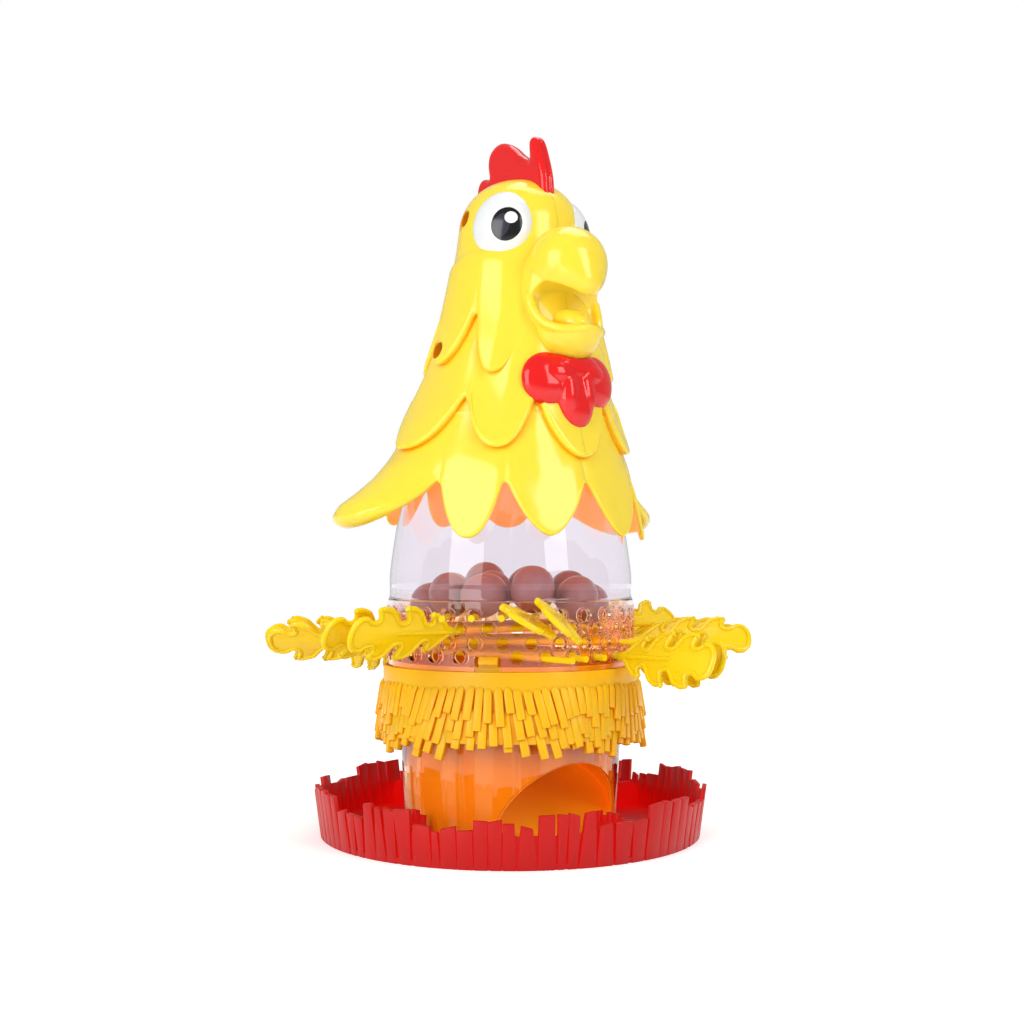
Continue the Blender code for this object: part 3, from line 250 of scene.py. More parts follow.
# Heights over which the neck starts to lean and leans in full
LEAN_HEIGHTS = (185 * MM, 250 * MM)

# Middle of the wings as an azimuth, and their half-width in degrees
WING_MIDDLE = 97.5
WING_HALF_WIDTH = 34.0

# The beak's lower lip on the chicken's left, from the corner of the mouth to the front, in millimetres
LIP_LINE = (
    (19.2, -42, 253.5),
    (19.0, -44.5, 247),
    (16.8, -48, 241.5),
    (14.2, -53, 238.2),
    (10, -57.5, 237),
    (5.5, -60.6, 237),
    (1.8, -61.6, 237.2),
)

# Ovals as centre and radii in millimetres: the mouth's hollow, the jaw, and the room for it in the wattle
MOUTH_ROOM = ((0, -58, 249), (40, 17, 12.3))
JAW = ((0, -45, 239), (16.4, 18.4, 16))
JAW_ROOM = ((0, -45, 239), (15.8, 18.3, 17.3))

# The eyes: azimuth of their middle, its distance from the axis, its height, tilt and bulge
EYE_AZIMUTH = 54.0
EYE_DISTANCE = 24 * MM
EYE_HEIGHT = 288.5 * MM
EYE_TILT = 78.0
EYE_BULGE = 10 * MM

# The prints on an eye: half-width and half-height, and how far that layer of ink stands proud
RIM_PRINT = ((7.0 * MM, 8.1 * MM), 0.04 * MM)
# The slate patch is a painted reflection: the sheen on the pupil, laid on as slate ink
PUPIL_SHEEN_PRINT = ((3.9 * MM, 5.7 * MM), 0.08 * MM)
GLINT_PRINT = ((2.9 * MM, 2.9 * MM), 0.12 * MM)
PRINT_TILT = 18.0
INK_THICKNESS = 0.2 * MM

# The camera: azimuth in degrees, distance from the axis, height, focal length in millimetres and shift
VIEW_AZIMUTH = -35.0
VIEW_DISTANCE = 0.686
VIEW_HEIGHT = 0.130
VIEW_LENS = 49.22
VIEW_SHIFT = (0.0015, 0.0518)

# Soft boxes: degrees to the camera's side, distance, height, height of aim, size and watts
LAMPS = (
    ("left_box", -42.0, 1.3, 0.55, 0.15, (0.8, 1.0), 10.4),
    ("right_box", 44.0, 1.35, 0.8, 0.15, (0.6, 0.9), 7.6),
    ("top_box", 150.0, 0.5, 1.6, 0.1, (0.9, 0.9), 7.0),
)

# How far the wings stand out at heights, from tip to root
WING_CURVE = tuple(
    (height * MM, reach * MM)
    for height, reach in (
        (140, 22.0),
        (146, 24.4),
        (149, 25.8),
        (152, 26.4),
        (155, 26.2),
        (158, 24.6),
        (164, 17.8),
        (172, 10.2),
        (180, 5.0),
        (190, 1.6),
        (205, 0.0),
    )
)


def linear(hex_colour):
    """A hex sRGB colour as linear RGBA."""
    values = [int(hex_colour[start : start + 2], 16) / 255 for start in (1, 3, 5)]
    return (*(v / 12.92 if v <= 0.04045 else ((v + 0.055) / 1.055) ** 2.4 for v in values), 1.0)


def length(name, description, millimetres):
    """A length that the sidebar shows in the scene's unit."""
    return FloatProperty(
        name=name, description=description, default=millimetres * MM, precision=5, unit="LENGTH"
    )


def angle(name, description, degrees):
    """An angle that the sidebar shows in degrees."""
    return FloatProperty(
        name=name, description=description, default=math.radians(degrees), precision=3, subtype="ANGLE"
    )


def colour(name, description, hex_colour):
    """A colour that the sidebar shows as a swatch."""
    return FloatVectorProperty(
        name=name,
        description=description,
        subtype="COLOR",
        size=4,
        min=0.0,
        max=1.0,
        default=linear(hex_colour),
    )


class TraySizes(bpy.types.PropertyGroup):
    """Sizes of the tray, its dividers and its hub post"""

    radius: length("Radius", "Outer radius of the tray at its floor", 92)
    lean: length("Lean", "How far the fence leans out over its height", 3)
    height: length("Fence height", "Height over which the fence leans", 22.5)
    floor: length("Floor", "Thickness of the floor", 2.2)
    wall: length("Wall", "Thickness of the fence's planks", 2.2)
    divider_height: length("Divider height", "Height of the dividers", 15.5)
    divider_wall: length("Divider wall", "Thickness of the dividers", 2.6)
    divider_azimuth: angle("First divider", "Azimuth of the first divider", 8)
    post_radius: length("Post radius", "Radius of the hub post", 8)
    post_top: length("Post top", "Height of the hub post", 14)


class NestSizes(bpy.types.PropertyGroup):
    """Sizes of the clear base, the chute and the nest collar"""

    base_radius: length("Base radius", "Outer radius of the clear base at its foot", 51)
    base_top_radius: length("Base top radius", "Outer radius of the clear base at its top", 54.8)
    base_top: length("Base top", "Height of the clear base's top", 62)
    base_wall: length("Base wall", "Thickness of the clear base", 1.5)
    chute_wall: length("Chute wall", "Thickness of the orange chute", 1.8)
    ramp_rear: length("Ramp rear", "Height of the ramp at its rear", 44)
    ramp_front: length("Ramp front", "Height of the ramp at the arch", 5)
    arch_half_width: length("Arch half-width", "Half the width of the arch", 35)
    arch_top: length("Arch top", "Height of the arch", 39)
    collar_top: length("Collar top", "Height of the plain band round the drum", 82)
    collar_wall: length("Collar wall", "Thickness of the collar's rings", 1.9)
    straw_radius: length("Straw radius", "Radius of one moulded straw", 1.95)
    straw_tip: length("Straw tip", "Length over which a straw's upper end narrows", 4.5)
    straws: IntProperty(name="Straws", description="Straws in each tier", default=94)
    straw_fan: angle("Fan", "Most that a straw swings towards its latch", 7)


class DrumSizes(bpy.types.PropertyGroup):
    """Sizes of the drum, its holes and windows, and the eggs in it"""

    radius: length("Radius", "Outer radius of the drum's lower part", 59.8)
    wall: length("Wall", "Thickness of the drum", 2)
    top: length("Top", "Height of the drum's rim", 198)
    hole_radius: length("Hole radius", "Radius of the feather holes", 3)
    boss_radius: length("Boss radius", "Outer radius of the short tube round each hole", 3.85)
    boss_depth: length("Boss depth", "How far the tubes reach inside the wall", 1.0)
    boss_height: length("Boss height", "How far the tubes stand out of the wall", 0.6)
    holes_a_row: IntProperty(name="Holes a row", description="Holes in each row", default=28)
    window_width: length("Window width", "Width of the windows for the snap tongues", 12)
    window_bottom: length("Window bottom", "Height of the windows' lower edge", 79.5)
    window_top: length("Window top", "Height of the windows' upper edge", 89)
    egg_length: length("Egg length", "Length of an egg", 23.5)
    egg_width: length("Egg width", "Width of an egg", 20)


class FeatherSizes(bpy.types.PropertyGroup):
    """Sizes of a feather"""

    stick_radius: length("Stick radius", "Radius of the round stick", 1.5)
    stick_length: length("Stick length", "Length of the stick inside of the leaf", 126)
    leaf_length: length("Leaf length", "Length of the leaf", 59)
    leaf_width: length("Leaf width", "Width of the leaf", 27)
    leaf_thickness: length("Leaf thickness", "Thickness of the leaf's rim", 2.8)
    rim: length("Rim", "Radius of the round rim", 1.3)
    dish: length("Dish", "Depth of the leaf's face below its rim", 0.8)


class HeadSizes(bpy.types.PropertyGroup):
    """Sizes of the head, the comb and the eyes"""

    wall: length("Wall", "Thickness of the head's shell", 2.4)
    dome_radius: length("Dome radius", "Radius of the top of the head", 30)
    dome_centre: length("Dome centre", "Height from which the dome rises", 287)
    dome_height: length("Dome height", "Rise of the dome", 28.5)
    brow: length("Brow", "Height at which the dome meets the cheeks", 282)
    lean: length("Lean", "Forward shift of the head over the neck", 8.3)
    tier_step: length("Tier step", "Half the step under each tier of lobes", 1.6)
    tier_sink: length("Tier sink", "How far the tiers lie under the mean profile", 0.6)
    pillow: length("Pillow", "How far a skirt lobe swells between its edges", 1.7)
    wing_lip: length("Wing lip", "How much rounder the rim of the wings is than the other lobes", 4.0)
    comb_thickness: length("Comb thickness", "Thickness of the comb", 8)
    eye_half_width: length("Eye half-width", "Half the width of an eye", 15.1)
    eye_half_height: length("Eye half-height", "Half the height of an eye", 17.3)


class GameColours(bpy.types.PropertyGroup):
    """Colours of the plastics"""

    head: colour("Head", "Yellow of the head", "#FFE03C")
    leaf: colour("Feathers", "Yellow of the feathers", "#FFD60C")
    comb: colour("Comb and wattle", "Red of the comb and wattle", "#E8100F")
    tray: colour("Tray", "Red of the tray", "#C8100E")
    chute: colour("Chute", "Orange of the chute", "#F79A0C")
    straw: colour("Straw", "Amber of the nest's straw", "#FFBE14")
    egg: colour("Eggs", "Brown of the eggs", "#985F5C")
    clear: colour("Clear parts", "Tint of the clear plastic", "#F6F2F8")
    white: colour("Eyes", "White of the eyes", "#E9EBEC")
    # Slate of the painted reflection on each pupil
    pupil_sheen: colour("Pupils", "Slate of the pupils", "#32323E")


SETTINGS = {
    "tray": TraySizes,
    "nest": NestSizes,
    "drum": DrumSizes,
    "feather": FeatherSizes,
    "head": HeadSizes,
    "colours": GameColours,
}


def sizes(group):
    """The settings of one group, as the sidebar shows them."""
    return getattr(bpy.context.scene, f"chicken_{group}")


def between(low, high, share):
    """The value that lies a share of the way from low to high."""
    return low + (high - low) * share


def smooth_step(low, high, value):
    """A share that eases from 0 at low to 1 at high."""
    share = min(max((value - low) / (high - low), 0.0), 1.0)
    return share * share * (3.0 - 2.0 * share)


def uneven(index, spread):
    """An irregular value between -spread and spread that is the same on every run."""
    return spread * (0.6 * math.sin(2.4 * index + 0.7) + 0.4 * math.sin(5.3 * index))


def radial(azimuth, radius, height):
    """The point at an azimuth, a radius and a height."""
    turn = math.radians(azimuth)
    return Vector((radius * math.sin(turn), -radius * math.cos(turn), height))


def pick(*things):
    """Selects these objects alone, with the first one active."""
    if bpy.context.object and bpy.context.object.mode != "OBJECT":
        bpy.ops.object.mode_set(mode="OBJECT")
    bpy.ops.object.select_all(action="DESELECT")
    for thing in things:
        thing.select_set(True)
    bpy.context.view_layer.objects.active = things[0]
    return things[0]


def named(name):
    """Names the object that an operator has just added."""
    thing = bpy.context.object
    thing.name = name
    thing.data.name = name
    return thing


def apply_modifier(thing, kind, **settings):
    """Adds a modifier with its settings and applies it."""
    pick(thing)
    modifier = thing.modifiers.new(kind.title(), kind)
    for name, value in settings.items():
        setattr(modifier, name, value)
    bpy.ops.object.modifier_apply(modifier=modifier.name)


def boolean(thing, tool, operation):
    """Cuts, joins or crosses a piece with a tool, and removes the tool.

    The manifold solver gives the same mesh at each run. Both forms have to be closed.
    """
    apply_modifier(thing, "BOOLEAN", operation=operation, solver="MANIFOLD", object=tool)
    bpy.data.objects.remove(tool)


def select_faces(thing, test):
    """In edit mode, selects the faces whose middle passes a test."""
    bpy.ops.mesh.select_mode(type="FACE")
    bpy.ops.mesh.select_all(action="DESELECT")
    shape = bmesh.from_edit_mesh(thing.data)
    for face in shape.faces:
        face.select_set(test(face.calc_center_median()))
    shape.select_flush_mode()
    bmesh.update_edit_mesh(thing.data)


def clean(thing, gap=0.002 * MM):
    """Merges doubles, drops loose edges and points, and turns the faces outwards."""
    pick(thing)
    bpy.ops.object.mode_set(mode="EDIT")
    bpy.ops.mesh.select_all(action="SELECT")
    bpy.ops.mesh.remove_doubles(threshold=gap)
    bpy.ops.mesh.delete_loose(use_verts=True, use_edges=True, use_faces=False)
    bpy.ops.mesh.select_all(action="SELECT")
    bpy.ops.mesh.normals_make_consistent(inside=False)
    bpy.ops.object.mode_set(mode="OBJECT")


def join(things):
    """Makes one piece of several."""
    whole = pick(*things)
    bpy.ops.object.join()
    return whole


def copy_of(thing, place):
    """A copy with its own mesh, moved to a place."""
    twin = thing.copy()
    twin.data = thing.data.copy()
    twin.data.transform(place)
    bpy.context.scene.collection.objects.link(twin)
    return twin


def from_faces(name, points, faces):
    """A mesh object from points and faces, for forms that no primitive gives."""
    mesh = bpy.data.meshes.new(name)
    mesh.from_pydata([tuple(point) for point in points], [], faces)
    thing = bpy.data.objects.new(name, mesh)
    bpy.context.scene.collection.objects.link(thing)
    return thing


def lofted(name, columns):
    """A surface through closed columns of points that go round to the first column again."""
    rows = len(columns[0])
    points = [point for column in columns for point in column]
    faces = []
    for index in range(len(columns)):
        after = (index + 1) % len(columns)
        for row in range(rows - 1):
            start, side = index * rows + row, after * rows + row
            faces.append((start, start + 1, side + 1, side))
    thing = from_faces(name, points, faces)
    clean(thing)
    return thing


def turned(name, profile, sides=ROUND_SIDES):
    """A closed profile of radius and height, spun about Z."""
    mesh = bpy.data.meshes.new(name)
    count = len(profile)
    closed = profile[0][0] > 0.0 or profile[-1][0] > 0.0
    edges = [(index, (index + 1) % count) for index in range(count if closed else count - 1)]
    mesh.from_pydata([(radius, 0.0, height) for radius, height in profile], edges, [])
    thing = bpy.data.objects.new(name, mesh)
    bpy.context.scene.collection.objects.link(thing)
    pick(thing)
    bpy.ops.object.mode_set(mode="EDIT")
    bpy.ops.mesh.select_all(action="SELECT")
    bpy.ops.mesh.spin(
        steps=sides, angle=2.0 * math.pi, use_auto_merge=False, center=(0.0, 0.0, 0.0), axis=(0.0, 0.0, 1.0)
    )
    bpy.ops.object.mode_set(mode="OBJECT")
    clean(thing)
    return thing


def rounded(points, radius, steps=3):
    """A closed profile with each corner rounded by so many points, less at short sides."""
    found = []
    for index, (x, y) in enumerate(points):
        corner = Vector((x, y))
        before = Vector(points[index - 1]) - corner
        after = Vector(points[(index + 1) % len(points)]) - corner
        reach = min(radius, 0.45 * before.length, 0.45 * after.length)
        start = corner + before.normalized() * reach
        end = corner + after.normalized() * reach
        for step in range(steps + 1):
            share = step / steps
            point = start.lerp(corner, share).lerp(corner.lerp(end, share), share)
            found.append((point.x, point.y))
    return found


def smooth_curve(points, steps):
    """Points on a smooth curve through the given ones."""
    ends = [points[0], *points, points[-1]]
    found = []
    for first, second, third, fourth in zip(ends, ends[1:], ends[2:], ends[3:]):
        for step in range(steps):
            t = step / steps
            weights = (
                (-t + 2 * t**2 - t**3) / 2,
                (2 - 5 * t**2 + 3 * t**3) / 2,
                (t + 4 * t**2 - 3 * t**3) / 2,
                (-(t**2) + t**3) / 2,
            )
            near = (first, second, third, fourth)
            axes = range(len(first))
            found.append(tuple(sum(w * p[axis] for w, p in zip(weights, near)) for axis in axes))
    found.append(tuple(points[-1]))
    return found


def add_block(name, size, centre):
    """A box of a size, standing at a centre, as a fresh primitive."""
    bpy.ops.mesh.primitive_cube_add(size=1.0, location=centre)
    block = named(name)
    block.scale = size
    bpy.ops.object.transform_apply(location=True, rotation=False, scale=True)
    return block


def add_oval(name, centre, radii, turn=Matrix(), columns=48, rows=24):
    """A sphere primitive drawn out to an oval."""
    bpy.ops.mesh.primitive_uv_sphere_add(segments=columns, ring_count=rows, radius=1.0)
    oval = named(name)
    oval.data.transform(Matrix.Translation(centre) @ turn @ Matrix.Diagonal((*radii, 1.0)))
    return oval


def add_rod(name, start, end, radius, sides=32, end_radius=None):
    """A capped cylinder, or a cone where an end radius is given, between two points."""
    along = end - start
    bpy.ops.mesh.primitive_cone_add(
        vertices=sides,
        radius1=radius,
        radius2=radius if end_radius is None else end_radius,
        depth=along.length,
    )
    rod = named(name)
    turn = along.to_track_quat("Z", "Y").to_matrix().to_4x4()
    rod.data.transform(Matrix.Translation((start + end) / 2) @ turn)
    return rod


def curve_piece(name, curve, points, closed):
    """The closed mesh that a curve's outline or bevel makes of a line of points."""
    spline = curve.splines.new("POLY")
    spline.points.add(len(points) - 1)
    for point, place in zip(spline.points, points):
        point.co = (*place, 1.0)
    spline.use_cyclic_u = closed
    thing = bpy.data.objects.new(name, curve)
    bpy.context.scene.collection.objects.link(thing)
    pick(thing)
    bpy.ops.object.convert(target="MESH")
    thing = bpy.context.object
    thing.name = name
    clean(thing)
    return thing


def add_plate(name, outline, thickness, rounding, resolution=3, growth=0.0):
    """A flat outline in X and Y with a rounded edge, centred on its plane, as a closed mesh."""
    curve = bpy.data.curves.new(name, "CURVE")
    curve.dimensions = "2D"
    curve.fill_mode = "BOTH"
    curve.extrude = thickness / 2 - rounding
    curve.bevel_depth = rounding
    curve.offset = growth - rounding
    curve.bevel_resolution = resolution
    return curve_piece(name, curve, [(x, y, 0.0) for x, y in outline], True)


def add_tube(name, points, radius, resolution=4, closed=False):
    """A round tube along a line of points, with capped ends or closed to a ring."""
    curve = bpy.data.curves.new(name, "CURVE")
    curve.dimensions = "3D"
    curve.bevel_depth = radius
    curve.bevel_resolution = resolution
    curve.use_fill_caps = True
    return curve_piece(name, curve, points, closed)


def on_edge(azimuth):
    """Stands a flat outline of radius and height on edge at an azimuth."""
    out = radial(azimuth, 1.0, 0.0)
    up = Vector((0.0, 0.0, 1.0))
    return Matrix((out, up, out.cross(up))).transposed().to_4x4()


def finish(thing, body, slot, material, *replaced, sharp=35.0):
    """Gives a piece its material and its body, and hides the frame's nodes that it stands for; the slot is
    not used.
    """
    pick(thing)
    bpy.ops.object.transform_apply(location=True, rotation=True, scale=True)
    thing.data.materials.clear()
    thing.data.materials.append(material)
    bpy.ops.object.shade_smooth_by_angle(angle=math.radians(sharp))
    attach(thing, body)
    if replaced:
        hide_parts(*replaced)
    return thing


def add_node(tree, kind, sockets=None, **settings):
    """Adds a node with its settings. A socket's value is a constant or another node's output."""
    node = tree.nodes.new(kind)
    for name, value in settings.items():
        setattr(node, name, value)
    for name, value in (sockets or {}).items():
        if isinstance(value, bpy.types.NodeSocket):
            tree.links.new(value, node.inputs[name])
        else:
            node.inputs[name].default_value = value
    return node


def new_material(name):
    """A material with its node tree and its Principled shader."""
    material = bpy.data.materials.new(name)
    material.use_nodes = True
    return material, material.node_tree, material.node_tree.nodes["Principled BSDF"]


def moulded(
    name,
    base,
    deep,
    roughness,
    translucence=0.0,
    cloud=28 * MM,
    grain=0.7 * MM,
    shine=0.5,
    depth=3 * MM,
    # crease: colour of the painted shade in hollows; glow: strength of the painted glow there
    crease=None,
    reach=2 * MM,
    glow=0.0,
):
    """Injection-moulded plastic: faint clouds of a deeper shade, soft flow marks and a fine skin.

    Hollows up to the reach take the crease colour as painted shade, and get a painted glow where light would
    sink through the wall.
    """
    material, tree, shader = new_material(name)
    place = add_node(tree, "ShaderNodeTexCoord").outputs["Object"]
    clouds = add_node(tree, "ShaderNodeTexNoise", {"Vector": place, "Scale": 1.0 / cloud, "Detail": 3.0})
    tint = add_node(
        tree,
        "ShaderNodeMix",
        {"Factor": clouds.outputs["Fac"], "A": base, "B": deep},
        data_type="RGBA",
    )
    # Painted shade: ambient occlusion tints the hollows up to the reach with the crease colour
    if crease is not None:
        painted_shade_ao = add_node(
            tree, "ShaderNodeAmbientOcclusion", {"Distance": reach}, samples=6, only_local=True
        )
        air = painted_shade_ao.outputs["AO"]
        hollow = add_node(
            tree,
            "ShaderNodeMapRange",
            {"Value": air, "From Min": 0.25, "From Max": 0.8, "To Min": 1.0, "To Max": 0.0},
        )
        tint = add_node(
            tree,
            "ShaderNodeMix",
            {"Factor": hollow.outputs["Result"], "A": tint.outputs["Result"], "B": crease},
            data_type="RGBA",
        )
        # Painted glow: the hollows give off light in the crease colour, as if light sank through the wall
        if glow:
            painted_glow_strength = add_node(
                tree, "ShaderNodeMath", {0: hollow.outputs["Result"], 1: glow}, operation="MULTIPLY"
            )
            shader.inputs["Emission Color"].default_value = crease
            tree.links.new(painted_glow_strength.outputs[0], shader.inputs["Emission Strength"])
    flow_mark = cloud / 2.4
    flow = add_node(tree, "ShaderNodeTexNoise", {"Vector": place, "Scale": 1.0 / flow_mark, "Detail": 2.0})
    gloss = add_node(
        tree,
        "ShaderNodeMapRange",
        {"Value": flow.outputs["Fac"], "To Min": roughness * 0.85, "To Max": roughness * 1.2},
    )
    skin = add_node(tree, "ShaderNodeTexNoise", {"Vector": place, "Scale": 1.0 / grain, "Detail": 2.0})
    bump = add_node(
        tree,
        "ShaderNodeBump",
        {"Height": skin.outputs["Fac"], "Strength": 0.12, "Distance": 0.02 * MM},
    )
    tree.links.new(tint.outputs["Result"], shader.inputs["Base Color"])
    tree.links.new(gloss.outputs["Result"], shader.inputs["Roughness"])
    tree.links.new(bump.outputs["Normal"], shader.inputs["Normal"])
    shader.inputs["Subsurface Weight"].default_value = translucence
    shader.inputs["Subsurface Scale"].default_value = depth
    shader.inputs["Subsurface Radius"].default_value = (1.0, 0.6, 0.2)
    shader.inputs["Specular IOR Level"].default_value = shine
    return material


def darker(tint, share):
    """A linear colour at a share of its brightness."""
    return (tint[0] * share, tint[1] * share, tint[2] * share, 1.0)


def clear_plastic(name, roughness, shine, foot):
    """Clear polystyrene, polished in the mould: colourless above, with a warm tint at its foot that is the
    straw's reflected light, painted on.

    Light passes it, and so do rays that have turned often between its walls, so the inside stays bright.
    """
    material, tree, shader = new_material(name)
    place = add_node(tree, "ShaderNodeTexCoord").outputs["Object"]
    waves = add_node(tree, "ShaderNodeTexNoise", {"Vector": place, "Scale": 1.0 / (18 * MM), "Detail": 1.0})
    bump = add_node(
        tree, "ShaderNodeBump", {"Height": waves.outputs["Fac"], "Strength": 0.25, "Distance": 0.05 * MM}
    )
    height = add_node(tree, "ShaderNodeSeparateXYZ", {"Vector": place})
    # Painted reflection: towards its foot the plastic takes the warm colour of the straw around it
    rise = add_node(
        tree,
        "ShaderNodeMapRange",
        {"Value": height.outputs["Z"], "From Min": 100 * MM, "From Max": 116 * MM},
        interpolation_type="SMOOTHSTEP",
    )
    tint = add_node(
        tree,
        "ShaderNodeMix",
        {"Factor": rise.outputs["Result"], "A": foot, "B": sizes("colours").clear},
        data_type="RGBA",
    )
    tree.links.new(tint.outputs["Result"], shader.inputs["Base Color"])
    tree.links.new(bump.outputs["Normal"], shader.inputs["Normal"])
    shader.inputs["Transmission Weight"].default_value = 1.0
    shader.inputs["IOR"].default_value = 1.49
    shader.inputs["Specular IOR Level"].default_value = shine
    shader.inputs["Roughness"].default_value = roughness
    path = add_node(tree, "ShaderNodeLightPath")
    often = add_node(
        tree, "ShaderNodeMath", {0: path.outputs["Ray Depth"], 1: 5.5}, operation="GREATER_THAN"
    )
    through = add_node(
        tree, "ShaderNodeMath", {0: path.outputs["Is Shadow Ray"], 1: often.outputs[0]}, operation="MAXIMUM"
    )
    passing = add_node(tree, "ShaderNodeBsdfTransparent", {"Color": sizes("colours").clear})
    mixed = add_node(tree, "ShaderNodeMixShader", {"Fac": through.outputs[0]})
    tree.links.new(shader.outputs["BSDF"], mixed.inputs[1])
    tree.links.new(passing.outputs["BSDF"], mixed.inputs[2])
    tree.links.new(mixed.outputs["Shader"], tree.nodes["Material Output"].inputs["Surface"])
    return material


def lit_edge_plastic():
    """The cut edge of a clear wall, painted orange for the light that the wall carries to it."""
    tint = linear("#F28C1E")
    return moulded("Clear polystyrene, cut edge", tint, darker(tint, 0.9), 0.2, 0.3, shine=0.3)


def head_plastic():
    """Glossy yellow ABS: light sinks in a little, so its shadows turn warm, and its hollows get a painted
    amber shade.
    """
    tint = sizes("colours").head
    return moulded(
        "Glossy yellow ABS",
        tint,
        darker(tint, 0.96),
        0.16,
        0.45,
        crease=linear("#FFB400"),
        reach=7 * MM,
    )


def inner_head_plastic():
    """The inside of the head, painted a lighter orange with a painted orange glow, for the light from outside
    that would sink through its thin wall.
    """
    tint = linear("#FFB45A")
    material = moulded("Yellow ABS, inner side", tint, darker(tint, 0.96), 0.45, 0.5, shine=0.3)
    shader = material.node_tree.nodes["Principled BSDF"]
    # Painted glow: the inside gives off orange light, though no lamp is there
    shader.inputs["Emission Color"].default_value = linear("#FF9C3C")
    shader.inputs["Emission Strength"].default_value = 0.62
    return material


def screw_hole_plastic():
    """The walls of the screw recesses, painted a deeper orange as shade, where the moulding is thick and
    little light comes.
    """
    tint = linear("#F09A10")
    return moulded("Yellow ABS, screw recess", tint, darker(tint, 0.9), 0.4, 0.3, shine=0.2)


def leaf_plastic():
    """Yellow polypropylene, thin enough that light warms its edges, with a painted deeper-orange shade in the
    crease inside its rim.
    """
    tint = sizes("colours").leaf
    return moulded(
        "Yellow polypropylene",
        tint,
        darker(tint, 0.95),
        0.26,
        0.2,
        cloud=16 * MM,
        shine=0.3,
        crease=linear("#FFB000"),
        reach=1.6 * MM,
    )


def comb_plastic():
    """Glossy red ABS, as polished as the head."""
    tint = sizes("colours").comb
    return moulded("Glossy red ABS", tint, darker(tint, 0.9), 0.1, 0.0, shine=0.5)


def tray_plastic():
    """Red polystyrene from a satin mould, so its planks show no sharp reflection."""
    tint = sizes("colours").tray
    return moulded(
        "Satin red polystyrene",
        tint,
        darker(tint, 0.88),
        0.4,
        grain=0.5 * MM,
        shine=0.3,
        # Painted shade and painted glow in the tray's hollows: the crease colour, and a glow that lightens
        # the inside
        crease=linear("#C80806"),
        reach=60 * MM,
        glow=0.5,
    )


def chute_plastic():
    """Orange polypropylene, half translucent."""
    tint = sizes("colours").chute
    return moulded(
        "Orange polypropylene",
        tint,
        darker(tint, 0.94),
        0.32,
        0.4,
        shine=0.2,
        # Painted shade and painted glow in the hollows, such as the inside of the arch
        crease=linear("#FA820A"),
        reach=60 * MM,
        glow=0.32,
    )


def straw_plastic():
    """Amber polypropylene from a satin mould."""
    tint = sizes("colours").straw
    return moulded(
        "Amber polypropylene",
        tint,
        darker(tint, 0.94),
        0.34,
        0.35,
        cloud=12 * MM,
        shine=0.25,
        # Painted shade in the creases between the straws
        crease=linear("#F09000"),
        reach=3 * MM,
    )


def egg_plastic():
    """Brown blow-moulded polyethylene, matt as an egg's shell, with fine speckles."""
    tint = sizes("colours").egg
    return moulded("Brown polyethylene", tint, darker(tint, 0.9), 0.24, 0.1, cloud=6 * MM)


def eye_plastic():
    """White polished polystyrene."""
    tint = sizes("colours").white
    return moulded("Polished white polystyrene", tint, darker(tint, 0.97), 0.14, 0.05)


def printed_ink(name, tint):
    """Pad-printed ink, as smooth as what it lies on, with a slightly uneven film."""
    return moulded(name, tint, darker(tint, 0.85), 0.16, cloud=4 * MM)


def screw_steel():
    """Zinc-plated steel, turned, with a fine dull grain."""
    material, tree, shader = new_material("Zinc-plated steel")
    place = add_node(tree, "ShaderNodeTexCoord").outputs["Object"]
    grain = add_node(tree, "ShaderNodeTexNoise", {"Vector": place, "Scale": 1.0 / (0.4 * MM)})
    rough = add_node(
        tree, "ShaderNodeMapRange", {"Value": grain.outputs["Fac"], "To Min": 0.28, "To Max": 0.45}
    )
    tree.links.new(rough.outputs["Result"], shader.inputs["Roughness"])
    shader.inputs["Base Color"].default_value = linear("#C9CBC8")
    shader.inputs["Metallic"].default_value = 1.0
    return material


def fence_radius(height):
    """Outer radius of the leaning fence at a height."""
    tray = sizes("tray")
    return tray.radius + tray.lean * height / tray.height


def make_plank(number, middle, width, height):
    """One strip of a plank: a block whose sides lean, with a slanted top, bevelled and stood in the fence."""
    tray = sizes("tray")
    thickness = tray.wall + uneven(5 * number, 0.22 * MM)
    plank = add_block("plank", (width, thickness, height), (0.0, 0.0, height / 2))
    slant = uneven(7 * number + 2, 0.9 * MM)
    wedge = uneven(11 * number + 1, 0.5)
    for point in plank.data.vertices:
        if point.co.z > height / 2:
            point.co.x *= 1.0 - max(wedge, 0.0)
            point.co.z += slant if point.co.x > 0.0 else -slant
        else:
            point.co.x *= 1.0 + min(wedge, 0.0)
    apply_modifier(plank, "BEVEL", width=0.28 * MM, segments=2)
    tilt = Matrix.Rotation(math.radians(uneven(3 * number, 1.6)), 4, "Y")
    lean = Matrix.Rotation(math.atan2(tray.lean, tray.height), 4, "X")
    out = radial(middle, tray.radius - thickness / 2 + uneven(13 * number, 0.15 * MM), 0.0)
    plank.data.transform(
        Matrix.Translation(out) @ Matrix.Rotation(math.radians(middle), 4, "Z") @ lean @ tilt
    )
    for point in plank.data.vertices:
        point.co.z = max(point.co.z, 0.0)
    return plank


